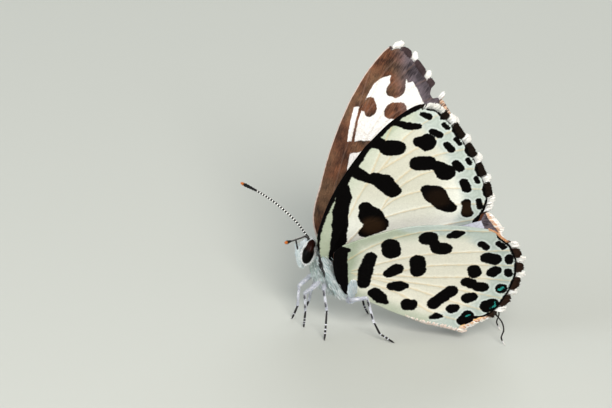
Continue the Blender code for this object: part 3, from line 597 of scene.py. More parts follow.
def underside_tints(kind, plan, inner_edge):
    """Where the ground turns cool grey-blue, creamy or amber, and its bluish rim. The hind wing's cool at its
    base is partly painted shade where the wing curves.
    """
    back, up = plan[..., 0], plan[..., 1]
    if kind == "fore":
        costa = back - np.interp(up, *FORE_COSTA)
        cools = (0.95 * ramp(costa, 1.5, -0.7) * ramp(up, 9.0, -5.0), 0.55 * ramp(costa, 1.9, -1.2))
        cream = 0.15 + 0.85 * ramp(up, 2.0, 5.0) * ramp(back, 9.0, -3.0)
        amber = 0.0 * up
    else:
        front, rear = np.interp(back, *HIND_COSTA) - up, up - np.interp(back, *HIND_HEM)
        # The last cool share, at the hind wing's base, is partly painted shade where the wing curves
        cools = (0.8 * ramp(front, 1.5, -1.3), 0.7 * ramp(rear, 1.1, -1.0), 0.9 * ramp(back, 3.4, -1.3))
        cream = 0.55 + 0.45 * smooth_step(1.6 - np.hypot(back - 8.0, (up - 4.6) * 1.3) / 3.5)
        tornal = np.hypot(back - 11.4, up - 1.9) / 1.3
        amber = ramp(inner_edge, 0.17, -0.06) * ramp(tornal, 1.2, -0.3)
    cool = np.max([0.85 * ramp(inner_edge, 2.0, -1.4), *cools], axis=0)
    rim = ramp(inner_edge, 2.1, -0.8) * ramp(back, 4.0, 1.5)
    return {"cool": cool, "cream": cream * (1 - cool), "amber": amber, "rim": rim}


def upperside_fields(kind, plan, inner_edge):
    """The upperside's dark ground round its white patches, where brown turns to violet-grey as a painted
    bluish sheen, and how cool its white is."""
    white = np.min([patch_distance(plan, patch) for patch in WINGS[kind]["white"]], axis=0)
    dark = np.minimum(-white, nearest(plan, WINGS[kind]["upper_blots"]))
    back, up = plan[..., 0], plan[..., 1]
    if kind == "fore":
        # Painted sheen: violet-grey towards the apex and the margin
        violet = smooth_step((back - 4.6 - 0.25 * (13.9 - up)) / 2.0)
    else:
        violet = ramp(inner_edge, 1.9, -1.2)
    return {"dark": dark, "violet": violet, "cool": np.full(dark.shape, float(kind == "hind"))}


def put(name, data):
    """Puts an object with this data into the scene."""
    made = bpy.data.objects.new(name, data)
    bpy.context.scene.collection.objects.link(made)
    return made


def make_piece(name, points, faces, materials, replaces=(), numbers=(), colours=(), uvs=(),
               face_materials=None):
    """Puts arrays into a mesh object that rides on the body, its place in its mesh."""
    mesh = bpy.data.meshes.new(name)
    corners = np.concatenate([group.ravel() for group in faces]).astype(np.int32)
    sizes = np.concatenate([np.full(len(group), group.shape[1]) for group in faces])
    starts = np.concatenate([[0], np.cumsum(sizes)[:-1]]).astype(np.int32)
    mesh.vertices.add(len(points))
    mesh.vertices.foreach_set("co", place(points).astype(np.float32).ravel())
    mesh.loops.add(len(corners))
    mesh.loops.foreach_set("vertex_index", corners)
    mesh.polygons.add(len(sizes))
    mesh.polygons.foreach_set("loop_start", starts)
    mesh.update(calc_edges=True)
    for key, values in dict(numbers).items():
        layer = mesh.attributes.new(key, "FLOAT", "POINT")
        layer.data.foreach_set("value", np.asarray(values, np.float32).ravel())
    for key, values in dict(colours).items():
        layer = mesh.attributes.new(key, "FLOAT_COLOR", "POINT")
        full = np.column_stack([values, np.ones(len(values))])
        layer.data.foreach_set("color", full.astype(np.float32).ravel())
    for key, values in dict(uvs).items():
        layer = mesh.uv_layers.new(name=key)
        layer.data.foreach_set("uv", np.asarray(values, np.float32)[corners].ravel())
    for material in materials:
        mesh.materials.append(material)
    if face_materials is not None:
        mesh.polygons.foreach_set("material_index", np.asarray(face_materials, np.int32))
    mesh.shade_smooth()
    piece = put(name, mesh)
    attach(piece, "root")
    if replaces:
        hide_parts(*replaces)
    return piece


def volume_sign(points, quads):
    """Above 0 where the faces look outwards: their signed volume, times a constant."""
    a, b, c, d = (points[quads[:, k]] for k in range(4))
    return np.einsum("ij,ij->", a, np.cross(b, c) + np.cross(c, d))


def tube_rings(path, radii, sides, flatten=1.0):
    """Circles carried along a path without twisting, each square to it."""
    ahead = unit(np.gradient(path, axis=0))
    across = np.cross(ahead[0], TUBE_SEAM)
    angles = np.arange(sides) * 2 * np.pi / sides
    rings = []
    for spot, forward, radius in zip(path, ahead, radii):
        across = unit(across - forward * across.dot(forward))
        upward = np.cross(forward, across)
        circle = np.outer(np.cos(angles), across) + flatten * np.outer(np.sin(angles), upward)
        rings.append(spot + radius * circle)
    return np.array(rings)


def closed_rings(rings):
    """Quads over a stack of rings and triangles to a point at each end, facing out."""
    count, sides = rings.shape[:2]
    index = np.arange(count * sides).reshape(count, sides)
    here, there = index[:-1], index[1:]
    quads = np.stack([here, np.roll(here, -1, 1), np.roll(there, -1, 1), there], -1).reshape(-1, 4)
    first, last = count * sides, count * sides + 1
    start = np.stack([np.full(sides, first), np.roll(index[0], -1), index[0]], 1)
    end = np.stack([np.full(sides, last), index[-1], np.roll(index[-1], -1)], 1)
    points = np.concatenate([rings.reshape(-1, 3), [rings[0].mean(0)], [rings[-1].mean(0)]])
    tris = np.concatenate([start, end])
    if volume_sign(points, quads) < 0:
        quads, tris = quads[:, ::-1], tris[:, ::-1]
    return points, [quads, tris]


def with_ends(values, sides=None):
    """Values by ring and side, or by ring alone, as one row with the two end points' values added."""
    if sides:
        values = np.repeat(values[:, None], sides, 1)
    return np.concatenate([values.ravel(), [values[0].mean()], [values[-1].mean()]])


def add_wing(kind, side, materials):
    """Two faces of a thin membrane over plan lines, with raised veins, a web to the body and a rim."""
    wing, shares = WINGS[kind], np.linspace(0, 1, ACROSS)
    across = np.broadcast_to(shares[:, None], (ACROSS, ALONG)).copy()
    share = edge_share(kind, side, shares)[:, None]
    along = np.linspace(0, 1, ALONG) * share
    plan = wing_plan(kind, across, along)
    points, normals = wing["surface"](plan, side)
    down = np.gradient(plan, axis=1) / np.gradient(along, axis=1)[..., None]
    over = np.gradient(plan, axis=0)
    area = np.abs(down[..., 0] * over[..., 1] - down[..., 1] * over[..., 0])
    inner_edge = (share - along) * area / np.maximum(np.linalg.norm(over, axis=-1), 1e-6)
    from_front = across * (ACROSS - 1) * area / np.maximum(np.linalg.norm(down, axis=-1), 1e-6)
    from_front = np.where(across < FRINGE_FROM[kind][0], np.minimum(from_front, inner_edge), from_front)
    veins = vein_distance(plan, kind)
    half = MEMBRANE / 2 + VEIN_RELIEF * np.exp(-(veins / VEIN_RADIUS) ** 2)
    half *= 0.5 + 0.5 * smooth_step(inner_edge / EDGE_THINNING)

    def widen(values):
        """The same values with the web's rows before them."""
        return np.concatenate([np.repeat(values[:, :1], WEB_ROWS, 1), values], 1)

    web = curve_through(np.array(wing["web"]) * (1, side, 1), shares)
    fade = smooth_step(np.linspace(0, 1, WEB_ROWS, endpoint=False))[None, :, None]
    points = np.concatenate([web[:, None] * (1 - fade) + points[:, :1] * fade, points], 1)
    shift = widen(normals) * widen(half)[..., None]
    both = np.concatenate([(points + shift).reshape(-1, 3), (points - shift).reshape(-1, 3)])
    count = ACROSS * (ALONG + WEB_ROWS)
    index = np.arange(count).reshape(ACROSS, -1)
    outer = np.stack([index[:-1, :-1], index[1:, :-1], index[1:, 1:], index[:-1, 1:]], -1).reshape(-1, 4)
    ring = np.concatenate([index[:, 0], index[-1, 1:], index[-2::-1, -1], index[0, -2:0:-1]])
    after = np.roll(ring, -1)
    rim = np.stack([ring, ring + count, after + count, after], 1)
    quads = np.concatenate([outer, outer[:, ::-1] + count, rim])
    if volume_sign(both, quads) < 0:
        quads = quads[:, ::-1]
    lower = {**underside_marks(kind, side, plan, inner_edge, across),
             **underside_tints(kind, plan, inner_edge), "veins": veins, "front": from_front}
    upper = {**upperside_fields(kind, plan, inner_edge), "veins": veins, "front": from_front}
    blank = np.zeros(plan.shape[:-1])
    numbers = {key: np.concatenate([widen(face.get(key, blank)).ravel() for face in (lower, upper)])
               for key in {**lower, **upper}}
    # The rim takes one face's values: the far fore wing shows its upper face, the others their underside
    shows_above = (kind, side) == FAR_FORE
    copied, kept = (ring, ring + count) if shows_above else (ring + count, ring)
    for values in numbers.values():
        values[copied] = values[kept]
    lines = np.stack([widen(across), widen(along)], -1).reshape(-1, 2)
    make_piece(f"{SIDE_NAMES[side]}_{kind}_wing", both, [quads], materials,
               [f"{kind}wing_{SIDE_NAMES[side]}"], numbers, uvs={"WingLines": np.tile(lines, (2, 1))},
               face_materials=np.repeat([0, 1, int(shows_above)], [len(outer), len(outer), len(rim)]))


def tufts(roots, grow, bend, out, width, shape):
    """Three-sided blades: centre = root + grow * h + bend * h squared, tapering to a point at h = 1."""
    side = unit(np.cross(grow, out))
    across = np.cross(unit(grow), side)
    rings = []
    for h, share in shape:
        centre = roots + grow * h + bend * h * h
        for angle in np.radians((90.0, 210.0, 330.0)):
            offset = side * np.cos(angle) + across * np.sin(angle) * BLADE_FLATNESS
            rings.append(centre + offset * (width * share)[:, None])
    points = np.stack([*rings, roots + grow + bend], 1)
    tip, next_corner = 3 * len(shape), ((0, 1), (1, 2), (2, 0))
    quads = [(at + here, at + after, at + after + 3, at + here + 3)
             for at in range(0, tip - 3, 3) for here, after in next_corner]
    tris = [(0, 2, 1), *((tip - 3 + here, tip - 3 + after, tip) for here, after in next_corner)]
    offsets = (np.arange(len(roots)) * (tip + 1))[:, None, None]
    return points, [(np.array(group)[None] + offsets).reshape(-1, len(group[0])) for group in (quads, tris)]


def add_coat(name, roots, grow, out, width, colour, unwrap, material, bend=0.0, shape=LOCK):
    """One coat piece: each tuft keeps its root's colour, and its root's place on the skin's unwrap."""
    points, faces = tufts(roots, grow, bend, out, np.broadcast_to(width, len(roots)), shape)
    heights = np.concatenate([np.repeat([h for h, _ in shape], 3), [1.0]])
    corners = np.concatenate([np.tile((0.0, 0.5, 1.0), len(shape)), [0.5]])
    patch = np.stack([corners, heights], 1)[None] * PATCH
    uv = (unwrap[:, None] * (1 - PATCH) + patch).reshape(-1, 2)
    make_piece(name, points.reshape(-1, 3), faces, [material],
               numbers={"height": np.tile(heights, len(roots))},
               colours={"coat": np.repeat(np.clip(colour, 0, 1), points.shape[1], 0)}, uvs={"OFBake": uv})


def add_fringe(kind, side, material):
    """Rows of scale tufts from the membrane's edge out to the wing's outline, white and dark in turn.
    White checks end round and dark ones in lobes; the hind wing's ends are rusty, in two lengths."""
    rng = np.random.default_rng(SEEDS["fringe"] + side + (kind == "hind") * 4)
    surface, begin = WINGS[kind]["surface"], FRINGE_FROM[kind][0]
    rows, per_row, width = FRINGE_COAT
    across = np.tile(np.linspace(begin, FRINGE_TO, per_row), rows) + rng.normal(0, 0.0008, rows * per_row)
    across = np.clip(across, begin, 1.0)
    if (kind, side) == FAR_FORE:
        middle, half, _ = FORE_NOTCH
        across = across[np.abs(across - middle) > half * 1.15]
    count, full = len(across), np.ones_like(across)
    inner = wing_plan(kind, across, edge_share(kind, side, across) - FRINGE_OVERLAP[kind])
    starts, normals = surface(inner, side)
    ends, _ = surface(wing_plan(kind, across, full), side)
    further, _ = surface(wing_plan(kind, np.clip(across + 0.01, 0, 1), full), side)
    away = check_at(kind, side, across) + rng.normal(0, 0.14, count)
    white = smooth_step((1.0 - np.abs(away)) / 0.25 + 0.5)
    is_white = white > 0.5
    dark_reach, white_reach = FRINGE_REACH[kind]
    round_end = np.sqrt(np.clip(1.0 - 0.75 * away ** 2, 0.0, 1.0))
    lobed = 1.0 if (kind, side) == NEAR_FORE else 0.62 + 0.38 * ramp(np.abs(away), 1.0, 1.8)
    reach = np.where(is_white, white_reach * (0.55 + 0.45 * round_end), dark_reach * lobed)
    teeth = rng.normal(0, 1, COMB_TEETH)[(across * (COMB_TEETH - 1)).astype(int)]
    comb = 0.10 * teeth * (kind == "hind")
    reach = reach * (rng.uniform(0.80, 1.08, count) + comb)
    short = rng.uniform(0, 1, count) < 0.5
    rusty = between(rng, "#CC8A5C", "#F0D3B6", count)
    pale = between(rng, "#FFF4E6", "#FFFFFF", count)
    tornal = ramp(across, 0.845, 0.01)
    front_end, front_width = HIND_FRINGE_FRONT[side]
    early = ramp(across, front_end, -front_width)
    if kind == "hind":
        far_reach = 0.35 + 0.6 * ramp(across, 0.40, -0.04)
        reach = reach * (1 - early) + early * np.where(short, 0.5, 1.0) * (
            far_reach if side == RIGHT else 0.20)
        reach = reach * (1 - 0.45 * tornal * short)
    elif side == LEFT:
        reach = reach * (1 - 0.55 * ramp(across, 0.950, 0.01))
    flare = unit(further - ends) * (np.clip(away, -1, 1) * is_white * 0.02)[:, None]
    grow = (ends - starts) * reach[:, None] + flare + rng.normal(0, 0.018, ends.shape)
    layer = (rng.uniform(-1, 1, count) * 0.05)[:, None]
    roots = starts + normals * layer + grow * np.where(is_white, 0.26, 0.0)[:, None]
    bend = normals * rng.normal(0, 0.03, count)[:, None]
    colour = mix(FAR_FRINGE_DARK if side == RIGHT else FRINGE_DARK[kind], "#FFFDF8", white)
    if kind == "hind":
        two_rows = np.where(short[:, None], rusty, pale)
        at_front = two_rows if side == RIGHT else rusty * NEAR_FRONT_TINT
        colour = mix(mix(colour, at_front, early), two_rows, tornal)
    elif side == LEFT:
        # Painted shade: white checks near the apex greyed at random, and shortened
        apex_shade = white * ramp(across, 0.41, -0.02)
        colour = mix(colour, "#C9CBC6", apex_shade * rng.uniform(0.0, 0.9, count))
        colour = mix(colour, "#5E3826", ramp(across, 0.950, 0.01))
        grow = grow * (1 - 0.25 * apex_shade)[:, None]
    else:
        worn = ramp(across, 0.725, 0.01) * ramp(across, 0.85, -0.01)
        tan = between(rng, "#B87A50", "#F3DFC8", count)
        colour = mix(colour, tan, worn * (rng.uniform(0, 1, count) < 0.6))
        grow = grow * (1 - 0.35 * worn)[:, None]
    colour = colour * rng.uniform(0.88, 1.1, (count, 1))
    unwrap = np.stack([across, 0.9 + 0.09 * rng.uniform(0, 1, count)], 1)
    add_coat(f"{SIDE_NAMES[side]}_{kind}_fringe", roots, grow, normals, width, colour, unwrap, material,
             bend, SCALE_TUFT)


def add_rear_fringe(side, material):
    """Pinkish-white scales, short and close, along the rear part of the hind wing's lower edge."""
    rng = np.random.default_rng(SEEDS["rear_fringe"] + side)
    count, width = COATS["rear_fringe"]
    along = rng.uniform(REAR_FRINGE_FROM, 1.0, count)
    across = 1.0 - rng.uniform(0.0, 0.012, count)
    edge = wing_plan("hind", across, along)
    outward = unit(edge - wing_plan("hind", across - 0.05, along))
    roots, normals = hind_surface(edge - outward * 0.05, side)
    ends, _ = hind_surface(edge + outward * REAR_FRINGE_DEPTH, side)
    fade = ramp(along, REAR_FRINGE_FROM, 0.25)
    size = rng.uniform(0.5, 1.0, count) * (0.4 + 0.6 * fade)
    grow = (ends - roots) * size[:, None] + (0.10, 0.0, 0.0)
    colour = between(rng, "#F2D5C4", "#FFFAF4", count)
    unwrap = np.stack([0.02 + 0.01 * across, along * 0.99], 1)
    roots = roots + normals * rng.uniform(-0.05, 0.05, (count, 1))
    add_coat(f"{SIDE_NAMES[side]}_hind_rear_fringe", roots, grow, normals, width, colour, unwrap, material,
             shape=SCALE_TUFT)


def add_tail(side, material, coat):
    """A thin tail on the hind wing's own surface, dark with a white tip, and short scales along it."""
    rng = np.random.default_rng(SEEDS["tail"] + side)
    count, width = COATS["tail_scales"]
    shares = np.linspace(0, 1, TAIL_STATIONS)
    path, _ = hind_surface(curve_through(TAIL_PATH, shares), side)
    path[:, 2] = np.maximum(path[:, 2], 0.06)
    points, faces = closed_rings(tube_rings(path, table_at(TAIL_RADII, shares), TAIL_SIDES, FLATTENED))
    make_piece(f"{SIDE_NAMES[side]}_tail", points, faces, [material],
               numbers={"pale": with_ends(ramp(shares, 0.86, 0.06), TAIL_SIDES)})
    at = rng.uniform(0.04, 1.0, count)
    roots, out = hind_surface(curve_through(TAIL_PATH, at), side)
    after, before = (hind_surface(curve_through(TAIL_PATH, at + step), side)[0] for step in (0.01, -0.01))
    ahead = unit(after - before)
    sideways = np.cross(ahead, out) * rng.choice((-1, 1), count)[:, None]
    grow = unit(ahead + sideways * rng.uniform(0.05, 0.3, (count, 1))) * rng.uniform(0.12, 0.2, (count, 1))
    roots[:, 2] = np.maximum(roots[:, 2], 0.08)
    grow[:, 2] = np.maximum(grow[:, 2], 0.02 - roots[:, 2])
    colour = mix("#1A100B", "#F6F2EC", ramp(at, 0.86, 0.04))
    unwrap = np.stack([at, rng.uniform(0.1, 0.9, count)], 1)
    add_coat(f"{SIDE_NAMES[side]}_tail_scales", roots, grow, out, width, colour, unwrap, coat)


def from_crease(back):
    """How far each place is from the abdomen's nearest crease, as a share of a segment."""
    phase = (back - ABDOMEN_FROM) / (ABDOMEN_TO - ABDOMEN_FROM) * ABDOMEN_SEGMENTS
    return np.abs(phase - np.round(phase))


def body_rings():
    """Upright ellipses read smoothly from BODY_ROWS, each leaning back, creased between the segments."""
    rows = np.array(BODY_ROWS, float)
    _, knots = chain_steps(rows[:, :2])
    at = np.linspace(0, 1, BODY_STATIONS) * knots[-1]
    kernel = np.hanning(9) / np.hanning(9).sum()
    back, up, lean, height, width = (
        np.convolve(np.pad(np.interp(at, knots, column), 4, mode="edge"), kernel, "valid")
        for column in rows.T)
    inside = (back > ABDOMEN_FROM) & (back < ABDOMEN_TO)
    crease = CREASE * inside * np.exp(-(from_crease(back) / CREASE_WIDTH) ** 2)
    height, width = (np.maximum(size - SKIN_DEPTH - crease, 0.02)[:, None] for size in (height, width))
    angles = np.arange(BODY_SIDES) * 2 * np.pi / BODY_SIDES
    rise, lean = height * np.sin(angles), np.radians(lean)[:, None]
    return vectors(back[:, None] + np.sin(lean) * rise, width * np.cos(angles),
                   up[:, None] + np.cos(lean) * rise)


def body_colour(points, normals, rng):
    """The body's markings: white below, grey-green streaks on the sides, dark and banded above,
    a black stripe from the eye over the shoulder, and grey-green painted shade below the eye."""
    x, y, z = points.T
    count, dark = len(x), "#23262B"
    colour = between(rng, "#FCFFFF", "#CBDEE6", count, 0.6)
    side_of_thorax = ramp(x, -0.35, 0.4) * ramp(x, 2.6, -1.0)
    colour = mix(colour, "#A0BDB8", side_of_thorax * rng.uniform(0, 1, count) ** 2 * 0.8)
    colour = mix(colour, "#6F8079", side_of_thorax * (rng.uniform(0, 1, count) < 0.13) * 0.9)
    # Painted shade: grey-green hair below the eye, towards the front
    shade_under_eye = ramp(z, 4.95, -0.4) * ramp(x, 0.3, -0.3)
    colour = mix(colour, "#8FAAA0", shade_under_eye * rng.uniform(0, 1, count) * 0.8)
    above = ramp(normals[:, 2], 0.35, 0.3) * ramp(x, 0.0, 0.5)
    colour = mix(colour, dark, above * rng.uniform(0.6, 1.0, count))
    band = smooth_step(1.4 - from_crease(x) / CREASE_WIDTH) * (x > ABDOMEN_FROM)
    colour = mix(colour, "#FCFFFF", band * above * 0.8)
    stripe = chain_distance(points[:, ::2], NECK_STRIPE)
    colour = mix(colour, STRIPE_BLACK, ramp(stripe, 0.03, -0.06) * (np.abs(y) > 0.3))
    crown = ramp(z, 5.8, 0.2) * (x > -0.42) * (x < -0.1) * (np.abs(y) < 0.2)
    return mix(colour, dark, crown * 0.5)


def hair_lie(roots, out, name):
    """The way hair lies: back and down on the thorax, up and out on the face, back on the abdomen."""
    x, y, _ = roots.T
    if name == "face_hair":
        lie = vectors(-1.0, 0.2 * y, 0.32)
    elif name == "head_hair":
        forward = vectors(-0.9, 0.3 * np.sign(y) * (np.abs(y) > 0.1), 0.8)
        lie = mix(forward, (0.6, 0.0, -0.6), ramp(x, -0.45, 0.3))
    elif name == "thorax_hair":
        lie = vectors(0.75, 0.0, -0.7 * smooth_step(0.9 - out[:, 2]))
    else:
        lie = vectors(1.0, 0.0, -0.1 + 0 * x)
    return unit(lie - out * np.einsum("ij,ij->i", lie, out)[:, None])


def add_body(skin_material, hair_material):
    """One skin from the face to the tip of the abdomen, and its coat."""
    rng = np.random.default_rng(SEEDS["body"])
    rings = body_rings()
    points, faces = closed_rings(rings)
    ahead = np.gradient(rings, axis=0)
    around = (np.roll(rings, -1, 1) - np.roll(rings, 1, 1)) / 2
    normals = unit(np.cross(around, ahead))
    normals *= np.sign(np.einsum("ijk,ijk->ij", normals, rings - rings.mean(1, keepdims=True)).sum())
    flat = np.concatenate([normals.reshape(-1, 3), [[-1, 0, 0]], [[1, 0, 0]]])
    # Painted shade: the skin takes the coat's colours at 0.8, dark between the hairs
    make_piece("body_skin", points, faces, [skin_material], ["head", "thorax", "abdomen"],
               colours={"coat": body_colour(points, flat, rng) * 0.8})
    cell = np.linalg.norm(np.cross(ahead, around), axis=-1)
    x, y, z = np.moveaxis(rings, -1, 0)
    regions = {"head_hair": x < -0.02, "face_hair": (x < -0.35) & (np.abs(y) < 0.34) & (z > 5.0),
               "thorax_hair": (x >= -0.02) & (x < 3.6), "abdomen_hair": x >= 3.6}
    for name, (count, length, width, lift) in BODY_COATS.items():
        odds = (cell * regions[name])[:-1].ravel()
        row, column = np.divmod(rng.choice(len(odds), count, p=odds / odds.sum()), BODY_SIDES)
        u, v = rng.uniform(0, 1, (2, count, 1))
        after = (column + 1) % BODY_SIDES
        roots = ((rings[row, column] * (1 - v) + rings[row, after] * v) * (1 - u)
                 + (rings[row + 1, column] * (1 - v) + rings[row + 1, after] * v) * u)
        out = normals[row, column]
        spread = rng.normal(0, 0.22, roots.shape)
        size = length * rng.uniform(0.7, 1.2, (count, 1))
        grow = unit(hair_lie(roots, out, name) + out * lift + spread) * size
        colour = body_colour(roots, out, rng)
        unwrap = np.stack([(column + v[:, 0]) / BODY_SIDES, (row + u[:, 0]) / BODY_STATIONS], 1)
        add_coat(name, roots - out * 0.02, grow, out, width * rng.uniform(0.7, 1.2, count), colour,
                 np.clip(unwrap, 0, 0.99), hair_material, -out * size * 0.12)


def eye_place(side, tall, deep, wide):
    """Places on or round an eye from shares of its half height, depth and width: an oval, fuller below,
    with a waist under the upper lobe, which sits further back and nearer the middle of the head."""
    up, forward = (np.sin(EYE_LEAN), 0.0, np.cos(EYE_LEAN)), (-np.cos(EYE_LEAN), 0.0, np.sin(EYE_LEAN))
    height = EYE_HALF_HEIGHTS[side] * tall * np.where(tall > 0, EYE_TOP, 1.0)
    waist = 1.0 + 0.13 * ramp(tall, -0.4, -0.45) - 0.28 * np.exp(-((tall - 0.32) / 0.24) ** 2)
    depth = EYE_HALF_DEPTH * deep * waist - LOBE_BACK * ramp(tall, 0.2, 0.6)
    out = side * (EYE_HALF_WIDTH * wide - EYE_INWARD * tall)
    place_up = np.array(EYE_CENTRES[side]) + np.outer(height, up)
    return place_up + np.outer(depth, forward) + np.outer(out, (0, 1, 0))


def add_eye(side, material, hair):
    """A bulging eye on the side of the head, and short white scales lying outwards over its edge."""
    angles = np.arange(EYE_SIDES) * 2 * np.pi / EYE_SIDES
    rises = np.radians(np.linspace(-86, 86, EYE_RINGS))
    heights = np.outer(np.cos(rises), np.cos(angles))
    rings = [eye_place(side, tall, np.cos(rise) * np.sin(angles), np.sin(rise))
             for rise, tall in zip(rises, heights)]
    points, faces = closed_rings(np.array(rings))
    make_piece(f"{SIDE_NAMES[side]}_eye", points, faces, [material], [f"eye_{SIDE_NAMES[side]}"],
               {"tall": with_ends(heights)})
    rng = np.random.default_rng(SEEDS["eye_rim"] + side)
    count, width = COATS["eye_rim"]
    angle = rng.uniform(0, 2 * np.pi, count)
    tall = np.cos(angle)
    short = (1.0 - 0.75 * ramp(tall, 0.3, 0.4) - 0.35 * ramp(tall, -0.3, -0.4))[:, None]
    centre = np.array(EYE_CENTRES[side])
    ring = eye_place(side, tall, np.sin(angle), 0.0) - centre
    reach = 0.98 + 0.22 * rng.uniform(0, 1, (count, 1)) ** 1.5 * short
    sink = rng.uniform(0.0, 0.16, (count, 1)) * (0.0, -side, 0.0)
    roots = centre + ring * reach + (0, side * 0.02, 0) + sink
    outward, out = unit(ring), np.tile((0.0, float(side), 0.0), (count, 1))
    turn = np.cross(out, outward)
    grow = unit(outward * 0.6 + out * 0.4 + turn * rng.normal(0, 0.8, (count, 1)) + (0.25, 0, -0.1))
    grow = grow * rng.uniform(0.08, 0.24, (count, 1)) * short
    colour = between(rng, "#FFFFFF", "#DDE8EA", count)
    unwrap = np.stack([angle / (2 * np.pi), rng.uniform(0.1, 0.9, count)], 1) * 0.99
    add_coat(f"{SIDE_NAMES[side]}_eye_rim", roots, grow, out, width, colour, unwrap, hair)


def limb_roots(rng, path, rings, at):
    """Places on a limb's rings at shares of its length: ring, side, place, way out and way along."""
    row = (at * (len(path) - 1)).astype(int)
    column = rng.integers(0, rings.shape[1], len(at))
    roots = rings[row, column]
    return row, column, roots, unit(roots - path[row]), unit(np.gradient(path, axis=0))[row]


def add_palp(side, material, hair):
    """A bent, flattened feeler in front of the face: white and hairy, with a bare black end joint."""
    rng = np.random.default_rng(SEEDS["palp"] + side)
    shares = np.linspace(0, 1, PALP_STATIONS)
    path = curve_through(PALP_PATH, shares) * (1, side, 1)
    rings = tube_rings(path, table_at(PALP_RADII, shares), PALP_SIDES, FLATTENED)
    points, faces = closed_rings(rings)
    make_piece(f"{SIDE_NAMES[side]}_palp", points, faces, [material],
               [f"palp_{SIDE_NAMES[side]}"], {"pale": with_ends(1 - ramp(shares, 0.66, 0.05), PALP_SIDES)})
    count, width = COATS["palp_hair"]
    at = rng.uniform(0.02, 0.74, count)
    _, column, roots, out, ahead = limb_roots(rng, path, rings, at)
    grow = unit(ahead + out * 0.38 + rng.normal(0, 0.2, out.shape)) * rng.uniform(0.10, 0.22, (count, 1))
    colour = between(rng, "#F6FAFA", "#B4C9CC", count, 0.9)
    unwrap = np.stack([column / PALP_SIDES, at], 1) * 0.99
    add_coat(f"{SIDE_NAMES[side]}_palp_hair", roots, grow, out, width, colour, unwrap, hair)


def add_antenna(side, material):
    """A thin shaft of many segments that swells to a long club; its rings are broken on the outer side."""
    shares = np.linspace(0, 1, ANTENNA_STATIONS)
    path = curve_through(ANTENNA_PATHS[side], shares)
    ripple = 1.0 + 0.07 * np.cos(2 * np.pi * ANTENNA_SEGMENTS * shares)
    rings = tube_rings(path, table_at(ANTENNA_RADII, shares) * ripple, ANTENNA_SIDES)
    points, faces = closed_rings(rings)
    outward = side * unit(rings - path[:, None])[..., 1]
    make_piece(f"{SIDE_NAMES[side]}_antenna", points, faces, [material],
               [f"antenna_{SIDE_NAMES[side]}"], {"along": with_ends(shares, ANTENNA_SIDES),
                                                 "ringed": with_ends(1.0 - 0.9 * smooth_step(0.6 + outward))})


def bent_line(points, stations):
    """Straight runs between the points, their corners rounded by averaging; also the points' own shares."""
    steps, run = chain_steps(points)
    shares, knots = np.linspace(0, 1, stations), run / steps.sum()
    line = np.column_stack([np.interp(shares, knots, column) for column in np.array(points, float).T])
    for _ in range(3):
        line[1:-1] = (line[:-2] + line[1:-1] * 2 + line[2:]) / 4
    return shares, line, knots


def spike(start, end, radius, pale):
    """A small spur or claw: a cone with a slight bend."""
    shares = np.linspace(0, 1, 6)[:, None]
    path = start * (1 - shares) + end * shares + np.array([0, 0, -0.04]) * np.sin(np.pi * shares)
    points, faces = closed_rings(tube_rings(path, radius * (1 - 0.85 * shares[:, 0]), 6))
    return points, faces, np.full(len(points), pale)


def join_shells(shells):
    """Several shells, each its points, its quads and triangles and its values, as one."""
    points, groups, values = zip(*shells)
    starts = np.cumsum([0, *map(len, points)])
    faces = [np.concatenate([group[k] + start for group, start in zip(groups, starts)]) for k in (0, 1)]
    return np.concatenate(points), faces, np.concatenate(values)


